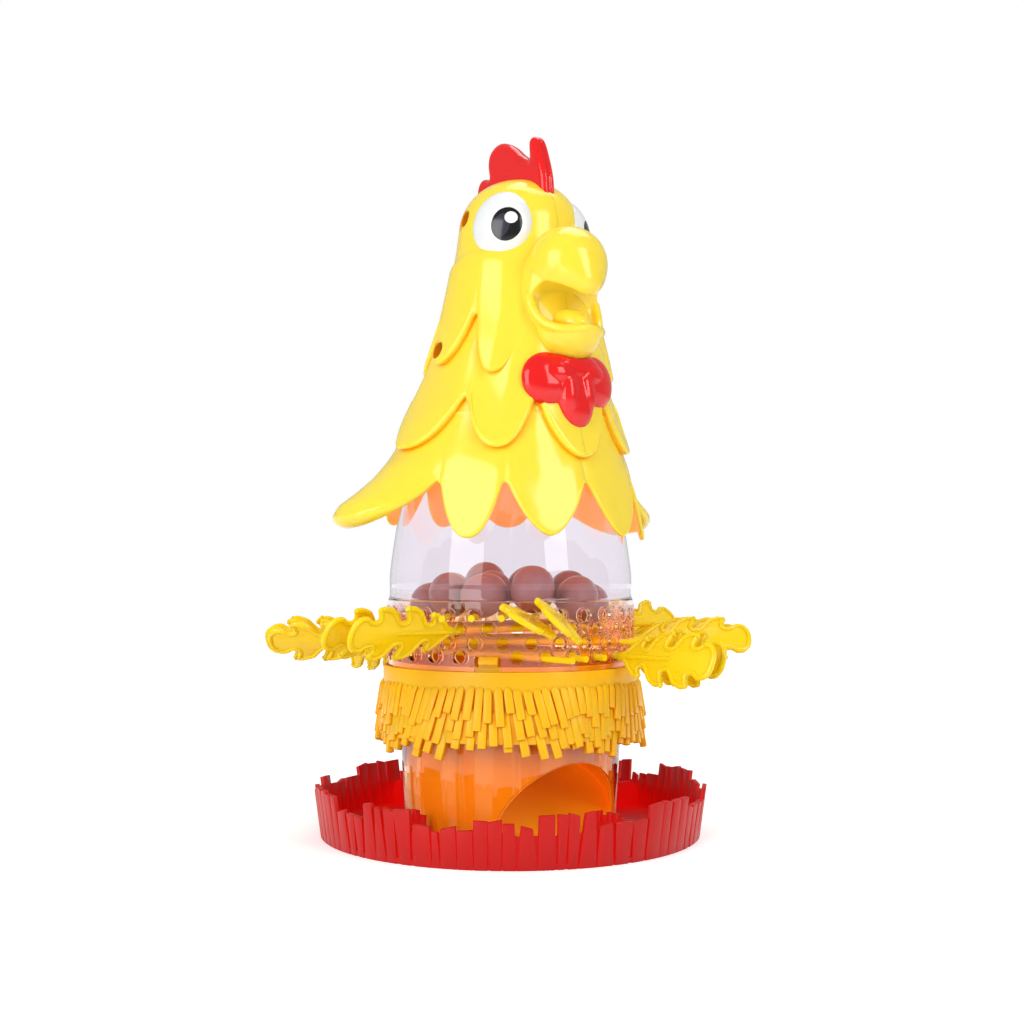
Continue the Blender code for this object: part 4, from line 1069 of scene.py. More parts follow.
def make_fence():
    """All planks, with wide ones made of strips, in front of a thin wall that shows in the notches."""
    tray = sizes("tray")
    planks = []
    azimuth = FENCE_START
    whole = sum(width for width, _ in FENCE_PLANKS)
    turns = round(360.0 / whole)
    for index in range(turns * len(FENCE_PLANKS)):
        width, height = FENCE_PLANKS[index % len(FENCE_PLANKS)]
        width *= 360.0 / (turns * whole)
        strips = max(round(width / STRIP_WIDTH), 1)
        for strip in range(strips):
            middle = azimuth + width * (strip + 0.5) / strips
            across = math.radians(width / strips) * tray.radius * 0.985
            planks.append(make_plank(len(planks), middle, across, height * MM))
        azimuth += width
    outer, inner = 1.0 * MM, tray.wall * 0.72
    root, top = tray.floor / 2, 15.0 * MM
    wall = turned(
        "fence_wall",
        (
            (fence_radius(root) - outer, root),
            (fence_radius(top) - outer, top),
            (fence_radius(top) - inner, top),
            (fence_radius(root) - inner, root),
        ),
    )
    return [wall, *planks]


def make_divider(azimuth):
    """A divider: five narrow slats near the cone, then a plain wall with a round outer corner."""
    tray, nest = sizes("tray"), sizes("nest")
    inner = nest.base_radius + 3.0 * MM
    outer = tray.radius - tray.wall / 2
    middle = between(inner, outer, 0.5)
    root = tray.floor / 2
    pieces = []
    slats = 5
    for slat in range(slats):
        step = (middle - inner) / slats
        height = tray.divider_height * (1.05 + uneven(slat + 2, 0.14))
        block = add_block(
            "slat",
            (step * 0.86, tray.divider_wall * (1.0 + uneven(slat, 0.12)), height - root),
            (inner + step * (slat + 0.5), 0.0, (height + root) / 2),
        )
        slant = uneven(3 * slat, 0.8 * MM)
        for point in block.data.vertices:
            if point.co.z > height / 2 + root:
                point.co.z += slant if point.co.x > inner + step * (slat + 0.5) else -slant
        apply_modifier(block, "BEVEL", width=0.25 * MM, segments=2)
        pieces.append(block)
    corner = 6.0 * MM
    outline = [(inner + 1.0 * MM, root), (inner + 1.0 * MM, 0.8 * tray.divider_height)]
    outline += [(middle - 1.0 * MM, 0.8 * tray.divider_height), (middle - 0.5 * MM, tray.divider_height)]
    for step in range(9):
        turn = math.pi / 2 * step / 8
        outline.append(
            (
                outer - corner * (1.0 - math.sin(turn)),
                tray.divider_height - corner * (1.0 - math.cos(turn)),
            )
        )
    outline.append((outer, root))
    wall = add_plate("divider_wall", outline, tray.divider_wall, 0.35 * MM, 2)
    wall.data.transform(Matrix.Rotation(math.pi / 2, 4, "X"))
    pieces.append(wall)
    whole = join(pieces)
    whole.data.transform(Matrix.Rotation(math.radians(azimuth - 90.0), 4, "Z"))
    return whole


class BuildTray(bpy.types.Operator):
    """Models the red tray: its floor, hub post, fence of planks and four dividers"""

    bl_idname = "chicken.tray"
    bl_label = "Tray"

    def execute(self, context):
        tray = sizes("tray")
        floor = turned(
            "floor",
            rounded(
                [
                    (AXIS, 0.0),
                    (tray.radius - 0.4 * MM, 0.0),
                    (tray.radius + 0.2 * MM, 1.2 * tray.floor),
                    (tray.radius - tray.wall, 1.2 * tray.floor),
                    (tray.radius - tray.wall - 1.5 * MM, tray.floor),
                    (AXIS, tray.floor),
                ],
                0.5 * MM,
            ),
        )
        lip = 0.9 * MM
        root, under_lip = tray.floor / 2, tray.post_top - 2.0 * MM
        hollow = 3.0 * MM
        post = turned(
            "post",
            rounded(
                [
                    (hollow, root),
                    (tray.post_radius, root),
                    (tray.post_radius, under_lip),
                    (tray.post_radius + lip, under_lip),
                    (tray.post_radius - lip, tray.post_top),
                    (hollow, tray.post_top),
                ],
                0.3 * MM,
                2,
            ),
            POST_SIDES,
        )
        first = math.degrees(tray.divider_azimuth)
        dividers = [make_divider(first + 90.0 * number) for number in range(4)]
        whole = join([floor, post, *make_fence(), *dividers])
        whole.name = "tray_planks"
        finish(whole, "tray", "red_plastic", tray_plastic(), "tray")
        return {"FINISHED"}


def base_radius(height):
    """Outer radius of the clear base at a height."""
    nest, tray = sizes("nest"), sizes("tray")
    bottom = tray.floor + SEAT_GAP
    return between(nest.base_radius, nest.base_top_radius, (height - bottom) / (nest.base_top - bottom))


def arch_tool():
    """A rod with the arch's outline that passes through the front walls only."""
    nest = sizes("nest")
    sill = nest.ramp_front - 0.5 * MM
    reach = nest.base_top_radius
    tool = add_rod(
        "arch",
        Vector((0.0, -0.35 * reach, 0.0)),
        Vector((0.0, -1.4 * reach, 0.0)),
        1.0,
        96,
    )
    rise = nest.arch_top - sill
    for point in tool.data.vertices:
        point.co.x *= nest.arch_half_width
        point.co.z = sill + max(point.co.z, 0.0) * rise
    clean(tool)
    return tool


def cone_wall(outside, wall):
    """Profile of a ring wall that follows the base's cone, with rounded edges."""
    nest, tray = sizes("nest"), sizes("tray")
    bottom = tray.floor + SEAT_GAP
    return rounded(
        [
            (nest.base_top_radius + outside, nest.base_top),
            (nest.base_radius + outside, bottom),
            (nest.base_radius + outside - wall, bottom),
            (nest.base_top_radius + outside - wall, nest.base_top),
        ],
        0.4 * MM,
        2,
    )


def colour_arch_edge(shell):
    """Gives the cut edge of the arch, whose faces look sideways or down, the second material, which paints on
    it the orange light that the wall carries.
    """
    nest = sizes("nest")
    for face in shell.data.polygons:
        in_arch = abs(face.center.x) < nest.arch_half_width + 1 * MM and face.center.y < 0.0
        above_sill = nest.ramp_front - 1 * MM < face.center.z < nest.arch_top + 1 * MM
        if in_arch and above_sill and abs(face.normal.y) < 0.1:
            face.material_index = 1


def make_ramp(gap):
    """The sloping floor of the chute: a plug of its cone, cut above and below the slope."""
    nest, tray = sizes("nest"), sizes("tray")
    bottom = tray.floor + SEAT_GAP
    inset = gap + nest.chute_wall / 2
    ramp = turned(
        "ramp",
        (
            (AXIS, bottom),
            (base_radius(bottom) - inset, bottom),
            (base_radius(nest.base_top) - inset, nest.base_top),
            (AXIS, nest.base_top),
        ),
    )
    slope = math.atan2(nest.ramp_rear - nest.ramp_front, 2.0 * nest.base_radius)
    middle = Vector((0.0, 0.0, (nest.ramp_rear + nest.ramp_front) / 2))
    up = Vector((0.0, -math.sin(slope), math.cos(slope)))
    for point, normal in ((middle, up), (middle - up * 2.0 * MM, -up)):
        pick(ramp)
        bpy.ops.object.mode_set(mode="EDIT")
        bpy.ops.mesh.select_all(action="SELECT")
        bpy.ops.mesh.bisect(plane_co=point, plane_no=normal, use_fill=True, clear_outer=True)
        bpy.ops.object.mode_set(mode="OBJECT")
    return ramp


def make_socket():
    """The sleeve under the ramp that turns on the tray's post."""
    tray = sizes("tray")
    bottom, top = tray.floor + SEAT_GAP, 19.0 * MM
    inner, outer = tray.post_radius + 1.2 * MM, tray.post_radius + 3.6 * MM
    return turned(
        "socket", ((inner, bottom), (outer, bottom), (outer, top), (inner, top)), POST_SIDES
    )


def make_ribs(gap):
    """Fine upright ribs round the chute's outside, all but those in the arch."""
    ribs = []
    for number in range(RIBS_IN_ARCH, RIBS_ROUND):
        azimuth = RIB_AZIMUTH + 360.0 / RIBS_ROUND * number
        low, high = (radial(azimuth, base_radius(height) - gap, height) for height in RIB_ENDS)
        ribs.append(add_rod("rib", low, high, RIB_RADIUS, 8))
    return ribs


class BuildBase(bpy.types.Operator):
    """Models the clear base shell and the orange chute inside it, both with the arch that eggs leave by"""

    bl_idname = "chicken.base"
    bl_label = "Base and chute"

    def execute(self, context):
        nest = sizes("nest")
        shell = turned("base_clear", cone_wall(0.0, nest.base_wall))
        boolean(shell, arch_tool(), "DIFFERENCE")
        material = clear_plastic("Clear polystyrene of the base", 0.04, 0.08, linear("#FFECC8"))
        finish(shell, "turret", "clear_plastic", material, "base_shell")
        shell.data.materials.append(lit_edge_plastic())
        colour_arch_edge(shell)
        gap = nest.base_wall + SEAT_GAP
        chute = turned("chute_cup", cone_wall(-gap, nest.chute_wall))
        boolean(chute, arch_tool(), "DIFFERENCE")
        whole = join([chute, make_ramp(gap), make_socket(), *make_ribs(gap)])
        whole.name = "chute_and_ramp"
        finish(whole, "turret", "orange_plastic", chute_plastic(), "egg_chute")
        return {"FINISHED"}


def straw_cone(height):
    """Radius at which the straw skin runs at a height."""
    (foot, foot_radius), (neck, neck_radius) = STRAW_FOOT, STRAW_NECK
    return between(foot_radius, neck_radius, (height - foot) / (neck - foot))


def make_straw():
    """One straw along -Z: a bevelled bar whose upper end is drawn in to a blunt point."""
    nest = sizes("nest")
    size = (2 * nest.straw_radius, 1.7 * nest.straw_radius, nest.straw_tip)
    straw = add_block("straw", size, (0.0, 0.0, -nest.straw_tip / 2))
    pick(straw)
    bpy.ops.object.mode_set(mode="EDIT")
    select_faces(straw, lambda middle: middle.z < -0.9 * nest.straw_tip)
    bpy.ops.mesh.extrude_region_move(TRANSFORM_OT_translate={"value": (0.0, 0.0, -2.0 * MM)})
    bpy.ops.object.mode_set(mode="OBJECT")
    apply_modifier(straw, "BEVEL", width=0.6 * MM, segments=2)
    for point in straw.data.vertices:
        if point.co.z > -0.5 * nest.straw_tip:
            point.co.x *= 0.4
            point.co.y = point.co.y * 0.4 + 0.9 * MM
    return straw


def straw_point(azimuth, fan, raised, height):
    """A point of a straw's middle line, which swings aside by the fan on its way to the cone's foot."""
    foot, neck = STRAW_FOOT[0], STRAW_NECK[0]
    swing = fan * (neck - height) / (neck - foot)
    return radial(azimuth + swing, straw_cone(height) + raised, height)


def straw_tier(straw, top, bottom, lift, seed, count):
    """A tier of straws of uneven length, swung round so that they fan out from the latches."""
    nest = sizes("nest")
    found = []
    for number in range(count):
        azimuth = 360.0 * (number + 0.5 * (seed % 2)) / count + uneven(7 * number + seed, 0.5)
        high = top + uneven(5 * number + seed, 1.0 * MM)
        low = bottom + uneven(3 * number + 2 * seed, 4.6 * MM)
        raised = lift + uneven(11 * number + seed, 0.45 * MM)
        share = ((azimuth - LATCH_AZIMUTH) / 90.0) % 1.0
        fan = math.degrees(nest.straw_fan) * math.sin(2.0 * math.pi * share)
        start = straw_point(azimuth, fan, raised, high)
        end = straw_point(azimuth, fan, raised, low)
        along = end - start
        out = radial(azimuth, 1.0, 0.0)
        down = along.normalized()
        side = down.cross(out).normalized()
        front = side.cross(down)
        place = Matrix((side, -front, -down)).transposed().to_4x4()
        place.translation = start
        twin = copy_of(straw, Matrix())
        for point in twin.data.vertices:
            if point.co.z < -nest.straw_tip - 0.5 * MM:
                point.co.z -= along.length - nest.straw_tip - 2.0 * MM
        twin.data.transform(place)
        found.append(twin)
    return found


class BuildCollar(bpy.types.Operator):
    """Models the amber nest collar: its rings, snap tongues and three tiers of moulded straws"""

    bl_idname = "chicken.collar"
    bl_label = "Nest collar"

    def execute(self, context):
        nest, drum = sizes("nest"), sizes("drum")
        lip_in = drum.radius + SEAT_GAP
        lip_out = lip_in + nest.collar_wall
        inner_out = drum.radius - drum.wall - SEAT_GAP
        shelf = nest.base_top + SEAT_GAP
        groove = STRAW_NECK[0]
        spigot_in = nest.base_top_radius + SEAT_GAP
        spigot_foot = shelf - 8 * MM
        throat = 50 * MM
        sleeve_top = 84 * MM
        skin_foot = 50 * MM
        ring = turned(
            "rings",
            rounded(
                [
                    (lip_out, nest.collar_top),
                    (lip_out, groove - 1.0 * MM),
                    (straw_cone(skin_foot) - 1.4 * MM, skin_foot),
                    (straw_cone(skin_foot) - 3.2 * MM, skin_foot),
                    (lip_out - nest.collar_wall, shelf + 2 * MM),
                    (spigot_in + nest.collar_wall, shelf),
                    (spigot_in + nest.collar_wall, spigot_foot),
                    (spigot_in, spigot_foot),
                    (spigot_in, shelf),
                    (throat, shelf),
                    (throat, shelf + 2 * MM),
                    (inner_out - nest.collar_wall, shelf + 2 * MM),
                    (inner_out - nest.collar_wall, sleeve_top),
                    (inner_out, sleeve_top),
                    (inner_out, groove),
                    (lip_in, groove),
                    (lip_in, nest.collar_top),
                ],
                0.4 * MM,
                2,
            ),
        )
        straw = make_straw()
        straws = []
        for number, (top, bottom, lift, share) in enumerate(STRAW_TIERS, 1):
            straws += straw_tier(straw, top, bottom, lift, number, int(nest.straws * share))
        bpy.data.objects.remove(straw)
        tongues = []
        top = drum.window_top - SEAT_GAP
        reach = inner_out - 0.3 * MM
        for number in range(4):
            outline = (
                (reach - nest.collar_wall, shelf + 1 * MM),
                (reach, shelf + 1 * MM),
                (reach, top - 3.6 * MM),
                (reach + 1.8 * MM, top - 3.4 * MM),
                (reach + 1.8 * MM, top - 2.6 * MM),
                (reach, top),
                (reach - nest.collar_wall, top),
            )
            tongue = add_plate("tongue", outline, 9 * MM, 0.3 * MM, 2)
            tongue.data.transform(on_edge(LATCH_AZIMUTH + 90.0 * number))
            tongues.append(tongue)
        whole = join([ring, *straws, *tongues])
        whole.name = "nest_straw"
        finish(whole, "turret", "amber_plastic", straw_plastic(), "nest_collar")
        return {"FINISHED"}


def drum_profile():
    """Outside of the drum from its foot to its rim, with the soft step above the holes."""
    drum = sizes("drum")
    return smooth_curve(
        (
            (drum.radius, 76.3 * MM),
            (drum.radius, 95 * MM),
            (drum.radius, 111.5 * MM),
            (drum.radius - 0.1 * MM, 113.2 * MM),
            (drum.radius - 0.75 * MM, 114.6 * MM),
            (drum.radius - 0.9 * MM, 118 * MM),
            (drum.radius - 1.1 * MM, 127 * MM),
            DRUM_SHOULDER[::-1],
            DRUM_NECK[::-1],
            (DRUM_TOP_RADIUS, drum.top),
        ),
        5,
    )


def drum_holes():
    """Azimuth and height of each hole, without those that a window takes the place of."""
    drum = sizes("drum")
    pitch = 360.0 / drum.holes_a_row
    found = []
    for height, offset in HOLE_ROWS.values():
        for number in range(drum.holes_a_row):
            azimuth = pitch * (number + offset)
            from_latch = (azimuth - LATCH_AZIMUTH + pitch / 2) % 90.0
            if height - FRAME_HOLE_RADIUS > drum.window_top or from_latch > pitch - 0.01:
                found.append((azimuth, height))
    return found


def rods_at(rod, places):
    """One object with a copy of a radial rod at each azimuth and height."""
    copies = [
        copy_of(rod, Matrix.Translation((0, 0, height)) @ Matrix.Rotation(math.radians(azimuth), 4, "Z"))
        for azimuth, height in places
    ]
    bpy.data.objects.remove(rod)
    return join(copies)


class BuildDrum(bpy.types.Operator):
    """Models the clear drum with its step, the short tube round each feather hole, and four windows"""

    bl_idname = "chicken.drum"
    bl_label = "Drum"

    def execute(self, context):
        drum = sizes("drum")
        outside = drum_profile()
        inside = [(radius - drum.wall, height) for radius, height in reversed(outside)]
        shell = turned("drum_clear", [*outside, *inside], DRUM_SIDES)
        inner = drum.radius - drum.wall
        tube = add_rod(
            "tube",
            radial(0.0, inner - drum.boss_depth, 0.0),
            radial(0.0, drum.radius + drum.boss_height, 0.0),
            drum.boss_radius,
            24,
        )
        boolean(shell, rods_at(tube, drum_holes()), "UNION")
        bore = add_rod(
            "bore",
            radial(0.0, inner - drum.boss_depth - 1 * MM, 0.0),
            radial(0.0, drum.radius + drum.boss_height + 1 * MM, 0.0),
            drum.hole_radius,
            24,
        )
        boolean(shell, rods_at(bore, drum_holes()), "DIFFERENCE")
        window = (drum.window_width, 12 * MM, drum.window_top - drum.window_bottom)
        middle = (0.0, -drum.radius, (drum.window_bottom + drum.window_top) / 2)
        for number in range(4):
            tool = add_block("window", window, middle)
            tool.data.transform(Matrix.Rotation(math.radians(LATCH_AZIMUTH + 90.0 * number), 4, "Z"))
            boolean(shell, tool, "DIFFERENCE")
        material = clear_plastic("Clear polystyrene of the drum", 0.015, 0.5, linear("#FFD2A8"))
        finish(shell, "turret", "clear_plastic", material, "drum")
        return {"FINISHED"}


def farthest_pair(points):
    """The two points farthest from each other."""
    first = max(points, key=lambda point: (point - points[0]).length)
    second = max(points, key=lambda point: (point - first).length)
    return first, second


def girth(points, middle, along, reach, end):
    """Mean distance from an egg's axis of its points towards one end."""
    offsets = [point - middle for point in points]
    near = [offset for offset in offsets if 0.3 < offset.dot(along) * end / reach < 0.95]
    return sum((offset - along * offset.dot(along)).length for offset in near) / len(near)


class BuildEggs(bpy.types.Operator):
    """Models the brown eggs where the frame holds them"""

    bl_idname = "chicken.eggs"
    bl_label = "Eggs"

    def execute(self, context):
        drum = sizes("drum")
        material = egg_plastic()
        master = add_oval("egg", (0.0, 0.0, 0.0), (1.0, 1.0, 1.0), columns=64, rows=40)
        for point in master.data.vertices:
            narrowing = 1.0 - 0.12 * point.co.z
            point.co.x *= drum.egg_width / 2 * narrowing
            point.co.y *= drum.egg_width / 2 * narrowing
            point.co.z *= drum.egg_length / 2
        names = (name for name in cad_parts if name.startswith("egg_") and name != "egg_chute")
        for name in sorted(names):
            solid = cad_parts[name]
            points = [solid.matrix_world @ point.co for point in solid.data.vertices]
            blunt, sharp = farthest_pair(points)
            middle = (blunt + sharp) / 2
            along = (sharp - blunt).normalized()
            reach = (sharp - blunt).length / 2
            if girth(points, middle, along, reach, 1.0) > girth(points, middle, along, reach, -1.0):
                along.negate()
            turn = along.to_track_quat("Z", "Y").to_matrix().to_4x4()
            egg = copy_of(master, Matrix.Translation(middle) @ turn)
            egg.name = f"{name}_shell"
            finish(egg, "turret", "egg_plastic", material, name)
        bpy.data.objects.remove(master)
        return {"FINISHED"}


def drawn_in(outline, distance):
    """A clockwise outline with each of its points moved inwards by a distance."""
    found = []
    for before, (x, y), after in zip(outline[-1:] + outline[:-1], outline, outline[1:] + outline[:1]):
        along = Vector((after[0] - before[0], after[1] - before[1])).normalized()
        found.append((x + along.y * distance, y - along.x * distance))
    return found


def make_feather():
    """A feather: a thin leaf with a round rim and a rib, and the round stick along -X."""
    feather = sizes("feather")
    right = [(x * feather.leaf_length, y * feather.leaf_width / 2) for x, y in LEAF_OUTLINE]
    outline = rounded(right + [(x, -y) for x, y in reversed(right)], 1.3 * MM, 4)
    thickness = feather.leaf_thickness - 2 * feather.dish
    leaf = add_plate("leaf", outline, thickness, 0.2 * MM, 1, -feather.rim / 2)
    edge = [(x, y, 0.0) for x, y in drawn_in(outline, feather.rim)]
    rim = add_tube("rim", edge, feather.rim, 2, closed=True)
    stick = add_rod(
        "stick",
        Vector((-feather.stick_length, 0.0, 0.0)),
        Vector((3.0 * MM, 0.0, 0.0)),
        feather.stick_radius,
        20,
    )
    rib_start, rib_end = Vector((2.0 * MM, 0.0, 0.0)), Vector((0.56 * feather.leaf_length, 0.0, 0.0))
    tip_radius = 1.2 * MM
    rib = add_rod("rib", rib_start, rib_end, feather.stick_radius, 20, tip_radius)
    tip = add_oval("rib_tip", rib_end, (tip_radius,) * 3, columns=20, rows=12)
    return join([leaf, rim, stick, rib, tip])


def feather_places():
    """Root, heading and roll of each feather, as the frame holds them: its stick lies low in its hole."""
    drum, feather = sizes("drum"), sizes("feather")
    pitch = 360.0 / drum.holes_a_row
    drop = FRAME_HOLE_RADIUS * math.cos(math.pi / 6) - feather.stick_radius - STICK_CLEARANCE
    places = []
    for row, pitches, full_side, roll, roll_step in FEATHER_GROUPS:
        for side, heading in (("near", pitch * pitches), ("far", pitch * pitches + 180.0)):
            for steps in (0, 1, 2) if side == full_side else (1, 2):
                turn = math.radians(pitch * steps)
                out = radial(heading, 1.0, 0.0)
                across = Vector((-out.y, out.x, 0.0))
                root = out * (drum.radius * math.cos(turn) + LEAF_GAP)
                root += across * drum.radius * math.sin(turn)
                root.z = HOLE_ROWS[row][0] - drop
                places.append((root, heading, roll + roll_step * steps))
    return places


class BuildFeathers(bpy.types.Operator):
    """Models one feather and stands a copy in each hole that the frame fills"""

    bl_idname = "chicken.feathers"
    bl_label = "Feathers"

    def execute(self, context):
        material = leaf_plastic()
        master = make_feather()
        for number, (root, heading, roll) in enumerate(feather_places(), 1):
            turn = Euler((math.radians(roll), 0.0, math.radians(heading - 90.0))).to_matrix().to_4x4()
            feather = copy_of(master, Matrix.Translation(root) @ turn)
            feather.name = f"feather_{number:02d}_leaf"
            finish(feather, f"feather_{number:02d}", "yellow_plastic", material, f"feather_{number:02d}")
        bpy.data.objects.remove(master)
        return {"FINISHED"}


def profile_radius(height):
    """Half-width of the head at a height below the brow."""
    for (low, low_radius), (high, high_radius) in zip(HEAD_PROFILE, HEAD_PROFILE[1:]):
        if height <= high:
            break
    return between(low_radius, high_radius, (height - low) / (high - low))


def smooth_profile(height):
    """The head's half-width with the corners of its profile eased."""
    reach = 4 * MM
    return sum(profile_radius(height + reach * share) for share in (-1.0, -0.5, 0.0, 0.5, 1.0)) / 5


def lean_at(height):
    """How far the head leans forward at a height."""
    return sizes("head").lean * smooth_step(*LEAN_HEIGHTS, height)


def turn_of(azimuth):
    """How far an azimuth is from the front, to either side: 0 to 180 degrees."""
    return abs((azimuth + 180.0) % 360.0 - 180.0)


def wing_at(azimuth):
    """How much of the wing an azimuth has: 1 in its middle and 0 beside it."""
    aside = min(abs(turn_of(azimuth) - WING_MIDDLE) / WING_HALF_WIDTH, 1.0)
    return (1.0 - aside**2) ** 2


def wing_reach(height):
    """How far the wing's middle stands out at a height: it sweeps out, then rounds in at its tip."""
    height = max(min(height, WING_CURVE[-1][0]), WING_CURVE[0][0])
    for (low, low_reach), (high, high_reach) in zip(WING_CURVE, WING_CURVE[1:]):
        if height <= high:
            break
    return between(low_reach, high_reach, (height - low) / (high - low))


def head_point(azimuth, height, lift):
    """A point of the head below the brow, lifted off its profile by a distance."""
    flare = wing_at(azimuth) * wing_reach(height)
    point = radial(azimuth, smooth_profile(height) + flare + lift, height)
    point.y -= lean_at(height)
    return point


def dome_points(azimuth, lift, rings):
    """Points from the top of the head down to its widest ring, which is left out."""
    head = sizes("head")
    points = []
    for ring in range(rings):
        turn = math.pi / 2 * (1.0 - ring / rings)
        out = (head.dome_radius + lift) * math.cos(turn) ** (2.0 / 2.2) if ring else 0.0
        up = (head.dome_height + lift) * math.sin(turn) ** (2.0 / 2.2)
        point = radial(azimuth, out, head.dome_centre + up)
        point.y -= head.lean
        points.append(point)
    return points


def lobe_rise(aside, squareness):
    """Share of the way from a lobe's tip to its notch, and its steepness: the notch is rounded too."""
    bend = 0.88
    steep = squareness * bend ** (squareness - 1.0)
    whole = bend**squareness + steep * (1.0 - bend) / 2
    if aside < bend:
        return aside**squareness / whole, squareness * aside ** (squareness - 1.0) / whole
    past = aside - bend
    rise = bend**squareness + steep * past - steep * past**2 / (2 * (1.0 - bend))
    return rise / whole, steep * (1.0 - past / (1.0 - bend)) / whole


def lobe_at(azimuth, lobes):
    """Height of a tier's edge, its steepness, and where across its lobe an azimuth lies, from -1 to 1."""
    turn = turn_of(azimuth)
    for near, far, tip, notch, squareness in lobes:
        if near <= turn <= far or near <= 360.0 - turn <= far:
            place = turn if near <= turn <= far else 360.0 - turn
            half = (far - near) / 2
            aside = (place - near - half) / half
            rise, climb = lobe_rise(abs(aside), squareness)
            edge = tip + (notch - tip) * rise
            across = math.radians(half) * profile_radius(edge)
            slope = (notch - tip) * climb / across
            return edge, min(math.sqrt(1.0 + slope**2), 4.5), aside
    raise ValueError(f"no lobe at {azimuth}")


class HeadColumn:
    """The head's section at one azimuth: where its tiers end, and how far its skin is lifted."""

    def __init__(self, azimuth):
        head = sizes("head")
        self.azimuth = azimuth
        self.turn = turn_of(azimuth)
        self.cheek, self.cheek_steep, self.cheek_aside = lobe_at(azimuth, CHEEK_LOBES)
        self.shoulder, self.shoulder_steep, self.shoulder_aside = lobe_at(azimuth, SHOULDER_LOBES)
        self.skirt, self.skirt_steep, self.skirt_aside = lobe_at(azimuth, SKIRT_LOBES)
        self.full_step = head.tier_step
        self.lip = head.wall / 2 + head.wing_lip * wing_at(azimuth)
        self.step = head.tier_step * smooth_step(38.0, 51.0, self.turn)

    def swell(self, height, edge, aside, amount):
        """The pillow of a lobe: full in its middle, nothing at its sides, and faded out above."""
        fade = 1.0 - smooth_step(edge, edge + 26 * MM, height)
        crease = 0.35 * math.exp(-(((1.0 - abs(aside)) / 0.16) ** 2))
        return amount * fade * (1.0 - abs(aside) ** 2.4 - crease)

    def cheek_lift(self, height):
        """Lift of the top tier, with the ridge that its side lobes hang from."""
        head = sizes("head")
        share = (head.brow - height) / (head.brow - self.cheek)
        ridge = 277 * MM - 6 * MM * ((self.turn - 80.0) / 45.0) ** 2
        reach = smooth_step(30.0, 50.0, self.turn) * (1.0 - smooth_step(112.0, 135.0, self.turn))
        under = 1.0 - smooth_step(ridge - 2.6 * MM, ridge + 0.8 * MM, height)
        fall = smooth_step(ridge - 34 * MM, ridge - 4 * MM, height)
        pillow = self.swell(height, self.cheek, self.cheek_aside, 0.5 * self.step)
        return (self.step - head.tier_sink) * share + 1.3 * MM * reach * under * fall + pillow

    def shoulder_lift(self, height):
        """Lift of the middle tier."""
        share = (self.cheek - height) / (self.cheek - self.shoulder)
        pillow = self.swell(height, self.shoulder, self.shoulder_aside, 0.9 * MM)
        return between(-self.step, self.full_step, share) + pillow - sizes("head").tier_sink

    def skirt_lift(self, height):
        """Lift of the lowest tier."""
        share = (self.shoulder - height) / (self.shoulder - self.skirt)
        pillow = self.swell(height, self.skirt, self.skirt_aside, sizes("head").pillow)
        return between(-self.full_step, 0.0, share) + pillow - (1.0 - share) * sizes("head").tier_sink

    def point(self, height, lift):
        """The point at this azimuth that lies a distance off the head's profile."""
        return head_point(self.azimuth, height, lift)

    def tier(self, top, edge, steep, lift_at, nose, rows, power=1.0):
        """Points down one tier and round the nose of its edge, which ends at the height of the edge."""
        start = edge + nose * steep
        points = []
        for row in range(rows):
            height = between(top, start, (row / rows) ** power)
            points.append(self.point(height, lift_at(height)))
        last = lift_at(edge)
        for corner in range(5):
            turn = math.pi / 2 * corner / 4
            height = edge + nose * steep * (1.0 - math.sin(turn))
            points.append(self.point(height, last - nose * (1.0 - math.cos(turn))))
        return points

    def outside(self):
        """Points from the top of the head down its three tiers to the skirt's lip."""
        head = sizes("head")
        points = dome_points(self.azimuth, 0.0, 18)
        points += self.tier(
            head.brow, self.cheek, self.cheek_steep, self.cheek_lift, 1.3 * self.step, 30, 1.25
        )
        points += self.tier(
            self.cheek, self.shoulder, self.shoulder_steep, self.shoulder_lift, 1.2 * self.full_step, 18
        )
        points += self.tier(self.shoulder, self.skirt, self.skirt_steep, self.skirt_lift, self.lip, 20)
        return points

    def inside(self):
        """Points from the skirt's lip up the inside of the shell to the top."""
        head = sizes("head")
        nose = self.lip
        lip = self.skirt_lift(self.skirt)
        points = []
        for corner in range(1, 5):
            turn = math.pi / 2 * corner / 4
            height = self.skirt + nose * self.skirt_steep * (1.0 - math.cos(turn))
            points.append(self.point(height, lip - nose * (1.0 + math.sin(turn))))
        start = self.skirt + nose * self.skirt_steep
        for row in range(1, 9):
            height = between(start, self.shoulder, row / 9)
            wall = between(2.0 * nose, head.wall, row / 9)
            points.append(self.point(height, self.skirt_lift(height) - wall))
        deep = -self.full_step - head.tier_sink - head.wall
        for row in range(9):
            points.append(self.point(between(self.shoulder, head.brow, row / 8), deep))
        return points + dome_points(self.azimuth, -head.wall, 8)[::-1]


def head_core(lift):
    """The outside of the head above its shoulders as a plain closed form, lifted by a distance."""
    head = sizes("head")
    columns = []
    for number in range(120):
        azimuth = 3.0 * number
        column = dome_points(azimuth, lift, 10)
        column += [head_point(azimuth, height * MM, lift) for height in range(round(head.brow / MM), 188, -6)]
        column.append(Vector((0.0, 0.0, 189 * MM)))
        columns.append(column)
    return lofted("head_core", columns)


def along_x(profile, height):
    """A profile of radius and distance turned about a screw's axis, which runs along X."""
    thing = turned("screw_axis", profile, SCREW_SIDES)
    thing.data.transform(
        Matrix.Translation((0.0, SCREW_LINE, height)) @ Matrix.Rotation(math.pi / 2, 4, "Y")
    )
    return thing


